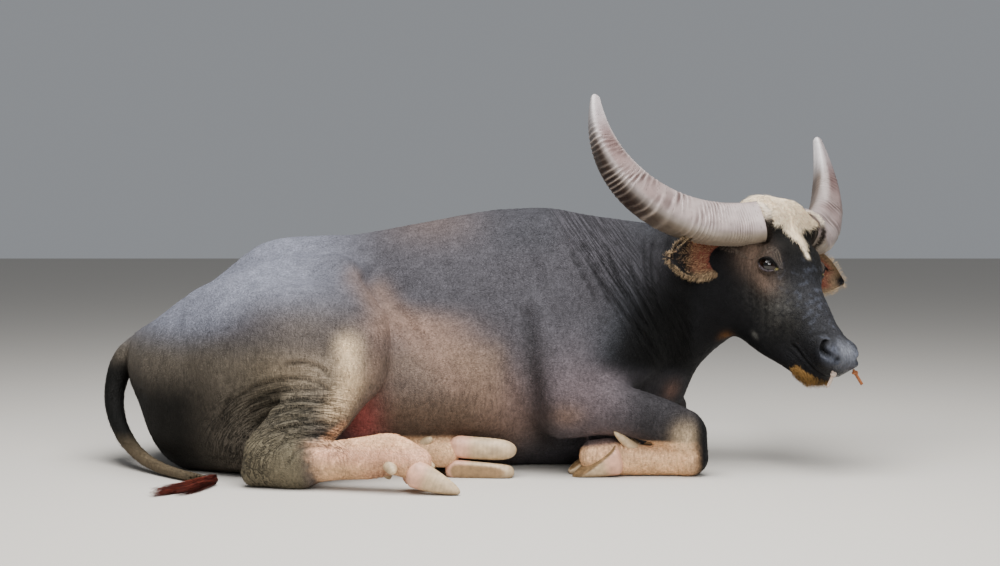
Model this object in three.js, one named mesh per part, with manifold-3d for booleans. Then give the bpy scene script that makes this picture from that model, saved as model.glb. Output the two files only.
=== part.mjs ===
// A domestic water buffalo of the swamp type, life size, lying on its brisket with the hips rolled over.
// Millimetres, +Z up. +X runs to the head end. -Y is the side turned to the viewer: the animal's right.
import * as THREE from "three";
import { mergeVertices } from "three/addons/utils/BufferGeometryUtils.js";
import Module from "manifold-3d";

const wasm = await Module();
wasm.setup();

// Size of the facets on each kind of piece, and the width of the thin cuts between the pieces.
const TRUNK_CELL = 96;
const NECK_CELL = 60;
const LEG_CELL = 60;
const HEAD_CELL = 35;
const CUT = 0.5;
const LIMB_MARGIN = 12;

// Colour and roughness of each covering.
const FINISH = {
  slateSkin: [0x4d4b50, 0.75],
  blackSkin: [0x2c2b2f, 0.7],
  creamSkin: [0xc9a78c, 0.8],
  hornKeratin: [0x75686a, 0.55],
  hoofKeratin: [0xb39b7c, 0.6],
  darkEye: [0x1c110d, 0.08],
  maroonHair: [0x4a2320, 0.8],
  ropeFibre: [0xb8aa98, 0.9],
};

// The right side is near the viewer (-Y), the left side is the far one (+Y).
const SIDES = [
  { name: "right", sign: -1 },
  { name: "left", sign: 1 },
];
const ACROSS = new THREE.Vector3(0, 1, 0);
const UPWARD = new THREE.Vector3(0, 0, 1);

// The head has its own frame, with its origin between the horns. It is turned to the near side, nose down.
// A place in it is [towards the right cheek, down the face, out of the face].
const HEAD_ORIGIN = new THREE.Vector3(730, -55, 660);
const HEAD_YAW = 45;
const HEAD_PITCH = 49;
const HEAD_ROLL = -6;
const [CHEEKWARD, NOSEWARD, OUTWARD] = headAxes();

function headAxes() {
  const yaw = THREE.MathUtils.degToRad(HEAD_YAW);
  const pitch = THREE.MathUtils.degToRad(HEAD_PITCH);
  const heading = new THREE.Vector3(Math.cos(yaw), -Math.sin(yaw), 0);
  const noseward = heading.clone().multiplyScalar(Math.cos(pitch)).setZ(-Math.sin(pitch));
  const cheekward = new THREE.Vector3(-Math.sin(yaw), -Math.cos(yaw), 0);
  const outward = new THREE.Vector3().crossVectors(cheekward, noseward);
  const roll = THREE.MathUtils.degToRad(HEAD_ROLL);
  return [cheekward, noseward, outward].map((axis) => axis.applyAxisAngle(heading, roll));
}

function headDirection(cheek, nose, out) {
  return new THREE.Vector3()
    .addScaledVector(CHEEKWARD, cheek)
    .addScaledVector(NOSEWARD, nose)
    .addScaledVector(OUTWARD, out);
}

function headPoint(cheek, nose, out) {
  return headDirection(cheek, nose, out).add(HEAD_ORIGIN);
}

// Joint centres of the folded legs.
const THIGH_TOP = [-640, -240, 310];
const STIFLE = [-385, -390, 300];
const HOCK = [-585, -470, 56];
const HIND_FETLOCK = [-265, -545, 92];
const ARM_TOP = [340, 165, 335];
const ELBOW = [170, 258, 190];
const KNEE = [488, 290, 74];
const FORE_FETLOCK = [285, 285, 48];

// A form is an elliptical section carried along a smooth path, like a muscle or a length of limb.
// A station is [x, y, z, half width, half depth], or [x, y, z, radius]; the width lies along `side`.
function form(stations, { side = ACROSS, blend = 50, steps = 4 } = {}) {
  const full = stations.map((s) => (s.length === 4 ? [...s, s[3]] : s));
  const path = smoothPath(full, steps);
  const reach = Math.max(...path.map((s) => Math.max(s[3], s[4])));
  const box = new THREE.Box3().setFromPoints(path.map((s) => new THREE.Vector3(...s)));
  return { stations: full, path, side, blend, box: box.expandByScalar(reach) };
}

function headForm(stations, options = {}) {
  const placed = stations.map(([c, n, o, ...section]) => [...headPoint(c, n, o), ...section]);
  return form(placed, { side: CHEEKWARD, ...options });
}

// The same form on both cheeks.
function headPair(stations, options = {}) {
  const mirrored = stations.map(([c, ...rest]) => [-c, ...rest]);
  return [headForm(stations, options), headForm(mirrored, options)];
}

// Catmull-Rom points through the stations, radii included.
function smoothPath(stations, steps) {
  const last = stations.length - 1;
  const before = stations[0].map((v, i) => 2 * v - stations[1][i]);
  const after = stations[last].map((v, i) => 2 * v - stations[last - 1][i]);
  const rows = [before, ...stations, after];
  const path = [];
  for (let k = 0; k < last; k += 1) {
    for (let step = 0; step < steps; step += 1) {
      path.push(stations[0].map((_, i) => catmull(rows.slice(k, k + 4).map((row) => row[i]), step / steps)));
    }
  }
  path.push(stations[last]);
  return path;
}

function catmull([a, b, c, d], t) {
  const curved = (2 * a - 5 * b + 4 * c - d) * t ** 2 + (3 * b - a - 3 * c + d) * t ** 3;
  return (2 * b + (c - a) * t + curved) / 2;
}

// The trunk: rib cage, belly, the ridge of the back, and the neck.
const torsoForms = [
  form([
    [400, 0, 375, 125, 185], [250, 0, 355, 180, 270], [80, 0, 345, 215, 305],
    [-120, 0, 330, 240, 295], [-320, 0, 315, 240, 270], [-500, 0, 310, 210, 250],
  ], { blend: 20, steps: 6 }),
  form([
    [220, 0, 190, 190, 190], [0, 0, 200, 280, 208], [-200, -10, 210, 335, 218],
    [-380, -20, 210, 325, 213], [-520, -20, 200, 260, 200],
  ], { blend: 120, steps: 6 }),
  form([
    [-600, 0, 520, 55], [-420, 0, 540, 55], [-200, 0, 575, 55], [0, 0, 612, 55],
    [160, 0, 606, 55], [380, -5, 582, 50], [560, -30, 585, 48], [670, -50, 605, 55],
  ], { blend: 100 }),
  form([
    [340, 0, 395, 165, 225], [440, -8, 430, 150, 190], [540, -28, 470, 128, 160], [650, -55, 520, 108, 130],
  ], { blend: 80, steps: 5 }),
  form([[180, 0, 130, 130, 120], [320, 0, 150, 105, 110], [400, 0, 215, 70, 95]], { blend: 90 }),
];

// The rump. The pelvis is rolled, with the near hip the higher one.
const PELVIS_ROLL = THREE.MathUtils.degToRad(15);
const pelvisSide = new THREE.Vector3(0, Math.cos(PELVIS_ROLL), -Math.sin(PELVIS_ROLL));
const rumpForms = [
  form([
    [-440, -10, 455, 190, 70], [-600, -10, 440, 195, 80], [-780, -5, 345, 140, 75], [-920, 0, 275, 70, 50],
  ], { side: pelvisSide, blend: 90 }),
  form([[-480, 0, 525, 45], [-620, 0, 515, 50], [-800, 5, 405, 48], [-945, 5, 315, 42]], { blend: 90 }),
  form([
    [-440, -190, 500, 42], [-600, -190, 420, 110], [-770, -140, 330, 125], [-905, -75, 255, 80],
  ], { blend: 90 }),
  form([
    [-455, 190, 425, 60], [-600, 195, 345, 130], [-770, 145, 265, 125], [-900, 85, 215, 75],
  ], { blend: 90 }),
  form([[-700, -160, 240, 190, 220], [-800, -140, 190, 150, 170]], { blend: 80 }),
  form([[-720, 140, 170, 190, 180], [-800, 100, 150, 130, 140]], { blend: 80 }),
  form([[-800, -170, 112, 100, 112], [-650, -255, 115, 105, 115]], { blend: 70 }),
];

// The near hind leg lies folded out to the side: thigh, the muscle in front of it, shank, hock and cannon.
const nearThigh = form([
  [...THIGH_TOP, 165, 195], [-510, -310, 325, 140, 175],
  [-430, -345, 340, 110, 150], [-385, -375, 320, 85, 120],
], { blend: 60, steps: 5 });
const nearFlankMuscle = form([
  [-430, -200, 485, 50], [-375, -300, 440, 62], [-350, -370, 365, 62], [-360, -395, 290, 62],
], { blend: 60, steps: 5 });
const nearShank = form([
  [-385, -400, 275, 62, 85], [-460, -430, 185, 62, 88], [-530, -455, 116, 55, 80], [-580, -468, 72, 50, 70],
], { blend: 35, steps: 5 });
const nearHock = form([
  [-610, -470, 36, 38], [-560, -482, 56, 45, 60], [-490, -498, 58, 42, 60],
], { blend: 30 });
const nearHindCannon = form([
  [-520, -492, 60, 42, 58], [-410, -512, 72, 38, 52], [-320, -532, 82, 42, 56],
  [...HIND_FETLOCK, 43, 53], [-205, -555, 70, 40, 44],
], { blend: 25, steps: 5 });

// The far hind leg passes under the belly, and its foot comes out on the near side.
const farThigh = form([[-620, 220, 180, 170], [-430, 270, 145, 135]], { blend: 80 });
const farHindCannon = form([
  [-360, -200, 42, 44], [-260, -252, 52, 40], [-190, -278, 60, 42], [-140, -298, 58, 38],
], { blend: 20 });

// The forelegs are folded under: shoulder blade, upper arm, forearm, knee and cannon.
function foreleg(sign) {
  const y = (distance) => sign * distance;
  return {
    shoulder: form([
      [90, y(85), 555, 45, 90], [210, y(135), 470, 60, 120], [320, y(150), 380, 70, 120],
    ], { blend: 110 }),
    triceps: form([
      [110, y(180), 410, 60, 100], [140, y(235), 270, 78, 105], [150, y(255), 205, 78, 85],
    ], { blend: 60 }),
    arm: form([
      [ARM_TOP[0], y(ARM_TOP[1]), ARM_TOP[2], 65, 95], [260, y(210), 265, 72, 100],
      [180, y(250), 205, 78, 92],
    ], { blend: 60 }),
    forearm: form([
      [165, y(262), 180, 70, 85], [290, y(285), 172, 66, 70],
      [400, y(292), 146, 54, 62], [470, y(290), 116, 48, 60],
    ], { blend: 40, steps: 5 }),
    knee: form([[480, y(290), 106, 46, 56], [492, y(287), 46, 43, 48]], { blend: 25 }),
    cannon: form([
      [490, y(285), 38, 38, 40], [405, y(285), 38, 33, 40], [330, y(285), 43, 38, 45],
      [FORE_FETLOCK[0], y(FORE_FETLOCK[1]), FORE_FETLOCK[2], 43, 50], [240, y(285), 50, 38, 44],
    ], { blend: 18, steps: 5 }),
  };
}
const forelegs = SIDES.map(({ sign }) => foreleg(sign));

// The head: skull, face, muzzle, chin, lower jaw, cheeks, brows and the stumps that carry the horns.
const headForms = [
  headForm([[0, 5, -38, 86, 74], [0, 75, -46, 100, 76], [0, 145, -56, 93, 78]]),
  headForm([[50, 0, -6, 47], [-50, 0, -6, 47]]),
  headForm([
    [0, 130, -72, 88, 95], [0, 220, -78, 77, 84], [0, 310, -80, 67, 74], [0, 390, -80, 60, 62],
  ], { blend: 40 }),
  headForm([[0, 385, -66, 62, 46], [0, 428, -68, 66, 44]], { blend: 30 }),
  ...headPair([[44, 415, -42, 25], [44, 440, -46, 21]], { blend: 24 }),
  headForm([[0, 385, -128, 42, 26], [0, 428, -127, 38, 22]], { blend: 20 }),
  ...headPair([
    [72, 70, -165, 34, 60], [64, 160, -190, 34, 56], [52, 250, -187, 32, 46], [36, 340, -162, 28, 33],
    [20, 410, -140, 24, 22],
  ]),
  headForm([[0, 90, -170, 50, 60], [0, 200, -185, 40, 45]], { blend: 60 }),
  ...headPair([[58, 90, -115, 42, 62], [58, 180, -128, 37, 66], [48, 275, -128, 34, 48]]),
  ...headPair([[78, 165, -58, 25], [68, 260, -84, 25]], { blend: 50 }),
  ...headPair([[76, 126, -16, 30], [80, 150, -28, 26]], { blend: 40 }),
  ...headPair([[60, 18, -8, 52], [118, 42, 6, 50]], { blend: 40 }),
];

const legForms = [
  nearThigh, nearFlankMuscle, nearShank, nearHock, nearHindCannon, farThigh, farHindCannon,
  ...forelegs.flatMap((leg) => Object.values(leg)),
];
const bodyForms = [...torsoForms, ...rumpForms, ...legForms, ...headForms];

// Distance to an elliptical cone between two stations, negative inside.
function coneDistance(p, a, b, side) {
  const along = [b[0] - a[0], b[1] - a[1], b[2] - a[2]];
  const length = Math.hypot(...along) || 1e-6;
  const axis = along.map((v) => v / length);
  const offset = [p[0] - a[0], p[1] - a[1], p[2] - a[2]];
  const t = THREE.MathUtils.clamp(dot(offset, axis) / length, 0, 1);
  const rest = offset.map((v, i) => v - along[i] * t);
  const lean = dot([side.x, side.y, side.z], axis);
  const flat = [side.x - axis[0] * lean, side.y - axis[1] * lean, side.z - axis[2] * lean];
  const scale = Math.hypot(...flat);
  const wide = flat.map((v) => v / scale);
  const deep = cross(axis, wide);
  const halfWidth = a[3] + (b[3] - a[3]) * t;
  const halfDepth = a[4] + (b[4] - a[4]) * t;
  const halfLength = Math.min(halfWidth, halfDepth);
  const q = [dot(rest, wide) / halfWidth, dot(rest, deep) / halfDepth, dot(rest, axis) / halfLength];
  const reach = Math.hypot(...q);
  const slope = Math.hypot(q[0] / halfWidth, q[1] / halfDepth, q[2] / halfLength);
  return slope < 1e-9 ? -halfLength : (reach * (reach - 1)) / slope;
}

function dot(a, b) {
  return a[0] * b[0] + a[1] * b[1] + a[2] * b[2];
}

function cross(a, b) {
  return [a[1] * b[2] - a[2] * b[1], a[2] * b[0] - a[0] * b[2], a[0] * b[1] - a[1] * b[0]];
}

// Smooth union of forms as a signed field: negative inside, `grow` millimetres fatter all over.
const FIELD_REACH = 130;
function fieldOf(forms, grow = 0) {
  return (p) => {
    let field = 1000;
    for (const { path, side, blend, box } of forms) {
      const { min, max } = box;
      if (p[0] < min.x - FIELD_REACH || p[0] > max.x + FIELD_REACH) continue;
      if (p[1] < min.y - FIELD_REACH || p[1] > max.y + FIELD_REACH) continue;
      if (p[2] < min.z - FIELD_REACH || p[2] > max.z + FIELD_REACH) continue;
      let near = 1000;
      for (let k = 1; k < path.length; k += 1) {
        near = Math.min(near, coneDistance(p, path[k - 1], path[k], side));
      }
      const h = THREE.MathUtils.clamp(0.5 + (0.5 * (field - near)) / blend, 0, 1);
      field = field * (1 - h) + near * h - blend * h * (1 - h);
    }
    return field - grow;
  };
}

// Closed surface of a field on a grid of cells: each patch of the surface in a cell has one vertex,
// moved onto the surface, and each grid edge that the surface crosses has one quad.
function solidOfField(field, box, cell) {
  const grid = sampledGrid(field, box, cell);
  const [nx, ny, nz] = grid.count;
  const vertexOf = new Int32Array(nx * ny * nz * CELL_EDGES.length).fill(-1);
  const positions = [];
  const triangles = [];
  const cells = cellsOf(nx - 1, ny - 1, nz - 1);
  for (const [i, j, k] of cells) {
    const first = grid.index(i, j, k) * CELL_EDGES.length;
    for (const patch of patchesOf(grid, [i, j, k])) {
      const mean = [0, 1, 2].map((n) => patch.reduce((sum, [, c]) => sum + c[n], 0) / patch.length);
      const place = mean.map((v, n) => grid.low[n] + ([i, j, k][n] + v) * cell);
      for (const [edge] of patch) vertexOf[first + edge] = positions.length;
      positions.push(ontoSurface(field, place, cell));
    }
  }
  for (const [i, j, k] of cells) {
    const inside = grid.values[grid.index(i, j, k)] < 0;
    AXES.forEach((step, axis) => {
      const insideAhead = grid.values[grid.index(i + step[0], j + step[1], k + step[2])] < 0;
      if (inside === insideAhead) return;
      const u = AXES[(axis + 1) % 3];
      const v = AXES[(axis + 2) % 3];
      const ring = [[1, 1], [0, 1], [0, 0], [1, 0]].map(([a, b]) => {
        const back = u.map((value, n) => a * value + b * v[n]);
        const around = grid.index(i - back[0], j - back[1], k - back[2]);
        return vertexOf[around * CELL_EDGES.length + axis * 4 + a + 2 * b];
      });
      if (!inside) ring.reverse();
      triangles.push(...quadTriangles(ring, positions));
    });
  }
  return solidOf(positions.flat(), triangles);
}

// The places of all the cells of a grid, one after another.
function cellsOf(nx, ny, nz) {
  const place = (n) => [Math.floor(n / (ny * nz)), Math.floor(n / nz) % ny, n % nz];
  return Array.from({ length: nx * ny * nz }, (_, n) => place(n));
}

// The field at the corners of the cells. The outermost corners count as outside, so the surface is closed.
function sampledGrid(field, box, cell) {
  const count = box.getSize(new THREE.Vector3()).toArray().map((v) => Math.ceil(v / cell) + 1);
  const [nx, ny, nz] = count;
  const low = box.min.toArray();
  const index = (i, j, k) => (i * ny + j) * nz + k;
  const values = new Float64Array(nx * ny * nz);
  for (const place of cellsOf(nx, ny, nz)) {
    const value = field(place.map((step, n) => low[n] + step * cell));
    const outermost = place.some((step, n) => step === 0 || step === count[n] - 1);
    values[index(...place)] = outermost ? Math.max(value, cell / 2) : value;
  }
  return { count, low, index, values };
}

// The twelve edges of a cell: four along each axis, numbered by where they start on the other two axes.
const AXES = [[1, 0, 0], [0, 1, 0], [0, 0, 1]];
const CELL_EDGES = AXES.flatMap((along, axis) => [[0, 0], [1, 0], [0, 1], [1, 1]].map(([u, v]) => {
  const start = along.map((_, n) => u * AXES[(axis + 1) % 3][n] + v * AXES[(axis + 2) % 3][n]);
  return [start, start.map((value, n) => value + along[n])];
}));

// The crossed edges of a cell, in groups that belong to one sheet of the surface.
function patchesOf(grid, [i, j, k]) {
  const valueAt = ([a, b, c]) => grid.values[grid.index(i + a, j + b, k + c)];
  const crossing = CELL_EDGES.map(([start, end]) => {
    const [from, to] = [valueAt(start), valueAt(end)];
    return (from < 0) === (to < 0) ? null : start.map((v, n) => v + ((end[n] - v) * from) / (from - to));
  });
  if (crossing.every((c) => c === null)) return [];
  const group = crossing.map((_, edge) => edge);
  const join = (a, b) => {
    const [keep, drop] = [group[a], group[b]];
    group.forEach((g, edge) => { if (g === drop) group[edge] = keep; });
  };
  for (let normal = 0; normal < 3; normal += 1) {
    const [u, v] = [(normal + 1) % 3, (normal + 2) % 3];
    for (const side of [0, 1]) {
      const alongU = (b) => u * 4 + b + 2 * side;
      const alongV = (a) => v * 4 + side + 2 * a;
      const crossed = [alongU(0), alongU(1), alongV(0), alongV(1)].filter((edge) => crossing[edge]);
      if (crossed.length === 2) join(...crossed);
      if (crossed.length < 4) continue;
      for (const [a, b] of [[0, 0], [1, 0], [0, 1], [1, 1]]) {
        const corner = AXES[normal].map((n, m) => n * side + a * AXES[u][m] + b * AXES[v][m]);
        if (valueAt(corner) < 0) join(alongU(b), alongV(a));
      }
    }
  }
  const groups = [...new Set(group.filter((_, edge) => crossing[edge]))];
  return groups.map((g) => {
    const own = [...crossing.keys()].filter((edge) => group[edge] === g && crossing[edge]);
    return own.map((edge) => [edge, crossing[edge]]);
  });
}

// A quad is split along its shorter diagonal.
function quadTriangles([a, b, c, d], positions) {
  const span = (m, n) => Math.hypot(...positions[m].map((v, i) => v - positions[n][i]));
  return span(a, c) <= span(b, d) ? [a, b, c, a, c, d] : [a, b, d, b, c, d];
}

// Two Newton steps along the field's slope, each no longer than half a cell.
function ontoSurface(field, start, cell) {
  let p = start;
  for (let step = 0; step < 2; step += 1) {
    const value = field(p);
    if (Math.abs(value) > cell) return p;
    const slope = [0, 1, 2].map((n) => {
      const ahead = p.map((v, i) => (i === n ? v + 1 : v));
      return field(ahead) - value;
    });
    const steepness = Math.max(dot(slope, slope), 0.2);
    const move = THREE.MathUtils.clamp(value / steepness, -cell / 2, cell / 2);
    p = p.map((v, n) => v - slope[n] * move);
  }
  return p;
}

function solidOf(coordinates, triangles) {
  const vertProperties = new Float32Array(coordinates);
  const triVerts = new Uint32Array(triangles);
  return new wasm.Manifold(new wasm.Mesh({ numProp: 3, vertProperties, triVerts }));
}

function solidOfGeometry(geometry) {
  geometry.deleteAttribute("normal");
  geometry.deleteAttribute("uv");
  const merged = mergeVertices(geometry, 0.01);
  return solidOf(merged.attributes.position.array, merged.index.array);
}

// Everything on the side of a plane that its normal points to.
const HALF_SPACE = 6000;
function halfSpace(point, normal) {
  const block = new THREE.BoxGeometry(HALF_SPACE, HALF_SPACE, HALF_SPACE);
  block.translate(0, 0, HALF_SPACE / 2);
  block.applyQuaternion(new THREE.Quaternion().setFromUnitVectors(UPWARD, normal.clone().normalize()));
  block.translate(...point);
  return solidOfGeometry(block);
}

// The pieces of a solid in front of a plane and behind it, with the thin cut between them.
function parted(solid, point, normal) {
  const shift = normal.clone().normalize().multiplyScalar(CUT / 2);
  const ahead = halfSpace(new THREE.Vector3(...point).add(shift), normal);
  const behind = halfSpace(new THREE.Vector3(...point).sub(shift), normal.clone().negate());
  return [solid.intersect(ahead), solid.intersect(behind)];
}

// The plane through a joint that halves the angle between two bones; its normal points to the second one.
function jointPlane(joint, firstEnd, secondEnd) {
  const centre = new THREE.Vector3(...joint);
  const first = new THREE.Vector3(...firstEnd).sub(centre).normalize();
  const second = new THREE.Vector3(...secondEnd).sub(centre).normalize();
  return [joint, second.sub(first)];
}

const aboveFloor = halfSpace(new THREE.Vector3(0, 0, 0), UPWARD);

function largest(solid) {
  return solid.decompose().reduce((best, piece) => (piece.volume() > best.volume() ? piece : best));
}

function boxOf(forms, margin) {
  return forms.reduce((box, { box: own }) => box.union(own), new THREE.Box3()).expandByScalar(margin);
}

// A leg: its top is a plug of the body's own surface, and the free lengths below are plain tubes.
// `hole` is what the leg leaves out of the trunk, slightly larger than the leg.
function legOf(top, lengths) {
  const body = solidOfField(fieldOf(bodyForms), boxOf([top], LEG_CELL * 1.5), LEG_CELL);
  const plug = body.intersect(tubeOf(top, LIMB_MARGIN));
  const free = lengths.map((shape) => tubeOf(shape));
  const sheath = (grow) => wasm.Manifold.union([top, ...lengths].map((shape) => tubeOf(shape, grow)));
  return {
    whole: largest(wasm.Manifold.union([plug, ...free]).intersect(aboveFloor)),
    sheath: sheath(CUT),
    hole: sheath(LIMB_MARGIN + CUT),
  };
}

// Points round a centre, in the plane across `tangent`: `reach` is how far out, along `side` and across it.
function ringRound(centre, tangent, side, sides, reach) {
  const wide = side.clone().addScaledVector(tangent, -side.dot(tangent)).normalize();
  const deep = new THREE.Vector3().crossVectors(tangent, wide);
  return Array.from({ length: sides }, (_, s) => {
    const angle = (2 * Math.PI * s) / sides;
    const [along, across] = reach(angle);
    return centre.clone()
      .addScaledVector(wide, along * Math.cos(angle))
      .addScaledVector(deep, across * Math.sin(angle));
  });
}

// A form as a plain closed tube. Each rounded end has one more ring: [how far on, how much narrower].
const TUBE_SIDES = 8;
const END_RING = [0.82, 0.6];
function tubeOf({ stations, side }, grow = 0, sides = TUBE_SIDES) {
  const centres = stations.map(([x, y, z]) => new THREE.Vector3(x, y, z));
  const last = stations.length - 1;
  const ring = (k, shift, shrink) => {
    const tangent = centres[Math.min(k + 1, last)].clone().sub(centres[Math.max(k - 1, 0)]).normalize();
    const [halfWidth, halfDepth] = [stations[k][3] + grow, stations[k][4] + grow];
    const centre = centres[k].clone().addScaledVector(tangent, shift * Math.min(halfWidth, halfDepth));
    return ringRound(centre, tangent, side, sides, () => [shrink * halfWidth, shrink * halfDepth]);
  };
  const [on, narrower] = END_RING;
  return loft([ring(0, -on, narrower), ...stations.map((_, k) => ring(k, 0, 1)), ring(last, on, narrower)]);
}

// A closed tube through rings of points. Its ends are closed by `cap`, triangles of the first ring's points.
function loft(rings, cap = fanCap(rings[0].length)) {
  const sides = rings[0].length;
  const end = (rings.length - 1) * sides;
  const triangles = [];
  for (let r = 0; r + 1 < rings.length; r += 1) {
    for (let s = 0; s < sides; s += 1) {
      const a = r * sides + s;
      const b = r * sides + ((s + 1) % sides);
      triangles.push(a, b, b + sides, a, b + sides, a + sides);
    }
  }
  for (const [a, b, c] of cap) triangles.push(a, b, c, end + a, end + c, end + b);
  const coordinates = rings.flat().flatMap((p) => p.toArray());
  const solid = solidOf(coordinates, triangles);
  return solid.volume() > 0 ? solid : solidOf(coordinates, triangles.reverse());
}

function fanCap(sides) {
  return Array.from({ length: sides - 2 }, (_, s) => [0, s + 2, s + 1]);
}

// Closes a flat ring, which runs out along one layer and back along the other, point to point.
function stripCap(sides) {
  const quads = Array.from({ length: sides / 2 - 1 }, (_, j) => [j, j + 1, sides - 2 - j, sides - 1 - j]);
  return quads.flatMap(([a, b, c, d]) => [[a, c, b], [a, d, c]]);
}

// Horns: a rounded triangle carried out, back and up along a Bezier curve in the head's frame.
const HORN_CURVE = [
  [100, 44, 8], [249, 2, -100], [370, -55, -90], [530, -165, -95], [484, -359, 4],
];
const HORN_RADIUS = 55;
const HORN_TAPER = 0.82;
const HORN_STEPS = 13;
const HORN_SIDES = 9;
const HORN_FLATNESS = 0.12;
const HORN_TURN = -0.11;
const HORN_INSET = 0.003;

function bezier(points, t) {
  if (points.length === 1) return points[0];
  const shorter = points.slice(1).map((p, i) => points[i].clone().lerp(p, t));
  return bezier(shorter, t);
}

function hornRadius(t) {
  return HORN_RADIUS * (1 - HORN_TAPER * t ** 3.8);
}

function horn(mirror, grow) {
  const control = HORN_CURVE.map(([c, n, o]) => headPoint(mirror * c, n, o));
  const rings = Array.from({ length: HORN_STEPS + 1 }, (_, step) => {
    const t = step / HORN_STEPS;
    const centre = bezier(control, step === 0 ? -grow * HORN_INSET : t);
    const ahead = bezier(control, Math.min(t + 0.01, 1));
    const tangent = ahead.sub(bezier(control, Math.max(t - 0.01, 0))).normalize();
    return ringRound(centre, tangent, OUTWARD, HORN_SIDES, (angle) => {
      const flat = HORN_FLATNESS * Math.cos(3 * (angle - mirror * HORN_TURN));
      const radius = hornRadius(t) * (1 - flat) + grow;
      return [radius, radius];
    });
  });
  return loft(rings);
}

// Ears: a leaf hollowed along its length, thick at the root and thin at the rim.
const EARS = {
  right: { root: [112, 52, -98], axis: [1, 0.02, -0.2], face: [0, 0.73, 0.68], length: 225 },
  left: { root: [-112, 52, -98], axis: [-1, 0.27, -0.02], face: [0, 0.6, 0.8], length: 235 },
};
const EAR_HALF_WIDTH = 54;
const EAR_HOLLOW = 34;
const EAR_THICKNESS = 13;
const EAR_STEPS = 7;
const EAR_ACROSS = 4;

function earWidth(u) {
  return EAR_HALF_WIDTH * (0.42 + 0.58 * Math.sin(Math.PI * Math.min(u / 1.05, 1)) ** 0.9) * (1 - u ** 6) + 3;
}

function ear({ root, axis, face, length }) {
  const along = headDirection(...axis).normalize();
  const facing = headDirection(...face);
  facing.addScaledVector(along, -facing.dot(along)).normalize();
  const across = new THREE.Vector3().crossVectors(facing, along);
  const place = (u, v, layer) => {
    const width = earWidth(u);
    const hollow = EAR_HOLLOW * (width / EAR_HALF_WIDTH) * (1 - v * v);
    const thick = EAR_THICKNESS * (1 - 0.5 * u) * (1 - 0.4 * v * v);
    return headPoint(...root)
      .addScaledVector(along, u * length)
      .addScaledVector(across, v * width)
      .addScaledVector(facing, -hollow + (layer * thick) / 2);
  };
  const steps = Array.from({ length: EAR_ACROSS + 1 }, (_, j) => (2 * j) / EAR_ACROSS - 1);
  const rings = Array.from({ length: EAR_STEPS + 1 }, (_, i) => {
    const layer = (side) => steps.map((v) => place(i / EAR_STEPS, v, side));
    return [...layer(1), ...layer(-1).reverse()];
  });
  return loft(rings, stripCap(rings[0].length));
}

// Tail: it hangs behind the buttock and runs forward along the floor to its switch of hair.
const TAIL_SIDE = new THREE.Vector3(0.31, 0.95, 0.02);
const tailPath = smoothPath([
  [-950, 10, 315, 48], [-1015, 5, 275, 38], [-1042, -15, 200, 31], [-1032, -60, 130, 27],
  [-985, -140, 66, 23], [-910, -240, 26, 19], [-820, -350, 15, 16], [-740, -430, 12, 13],
], 2);
const tail = form(tailPath, { side: TAIL_SIDE });
const TAIL_PARTS = ["tail_root", "tail_middle", "tail_end"];
const TAIL_CUTS = [5, 9];

function tailPieces() {
  let rest = tubeOf(tail).intersect(aboveFloor);
  const pieces = [];
  for (const at of TAIL_CUTS) {
    const around = tailPath.slice(at - 1, at + 2);
    const [before, joint, after] = around.map(([x, y, z]) => new THREE.Vector3(x, y, z));
    const [ahead, behind] = parted(rest, joint, after.sub(before));
    pieces.push(behind);
    rest = ahead;
  }
  return [...pieces, rest];
}

// The switch is a flat lock of hair that spreads from the end of the tail over the floor.
const tailSwitch = form([
  [-722, -448, 11, 12, 12], [-735, -490, 12, 26, 13], [-765, -545, 10, 36, 11], [-800, -600, 7, 26, 8],
  [-826, -636, 5, 8, 6],
], { side: new THREE.Vector3(0.8, -0.5, 0) });

// Hooves: each claw is a wedge of horn cut off flat by the sole. The two claws of a foot lie side by side.
const FEET = {
  hind_right: {
    coronet: [-207, -556, 47], toe: [-112, -578, 9], spread: [0.22, -0.97, 0], gap: 26,
    root: [32, 54], tip: [17, 12],
    sole: { point: [-150, -570, 0], normal: [0, 0, 1] },
  },
  hind_left: {
    coronet: [-112, -302, 46], toe: [18, -318, 42], spread: [0.1, 0.15, 1], gap: 28,
    root: [30, 36], tip: [22, 24],
    sole: { point: [-60, -337, 50], normal: [0.12, 1, 0] },
  },
  fore_right: {
    coronet: [288, -286, 46], toe: [188, -288, 12], spread: [0, -1, 0.05], gap: 24,
    root: [30, 52], tip: [20, 15],
    sole: { point: [247, -286, 54], normal: [0.6, 0, -0.8] },
  },
  fore_left: {
    coronet: [288, 286, 46], toe: [188, 288, 12], spread: [0, 1, 0.05], gap: 24,
    root: [30, 52], tip: [20, 15],
    sole: { point: [247, 286, 54], normal: [0.6, 0, -0.8] },
  },
};

const CLAW_SIDES = 6;
function claw({ coronet, toe, spread, gap, root, tip, sole }, sign, grow = 0) {
  const out = new THREE.Vector3(...spread).normalize();
  const start = new THREE.Vector3(...coronet).addScaledVector(out, sign * gap);
  const end = new THREE.Vector3(...toe).addScaledVector(out, sign * gap);
  const middle = start.clone().lerp(end, 0.5);
  const half = gap - 2;
  const stations = [
    [...start, Math.min(root[0], half + 4), root[1]],
    [...middle, Math.min((root[0] + tip[0]) / 2, half), (root[1] + tip[1]) / 2],
    [...end, tip[0], tip[1]],
  ];
  const body = tubeOf(form(stations, { side: out, steps: 1 }), grow, CLAW_SIDES);
  if (grow > 0) return body;
  const [beyond] = parted(body, ...coronetPlane({ coronet, toe }));
  const outward = out.clone().multiplyScalar(sign);
  const cleft = halfSpace(new THREE.Vector3(...coronet).addScaledVector(outward, CUT), outward);
  const underside = halfSpace(new THREE.Vector3(...sole.point), new THREE.Vector3(...sole.normal));
  return beyond.intersect(cleft).intersect(underside).intersect(aboveFloor);
}

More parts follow.
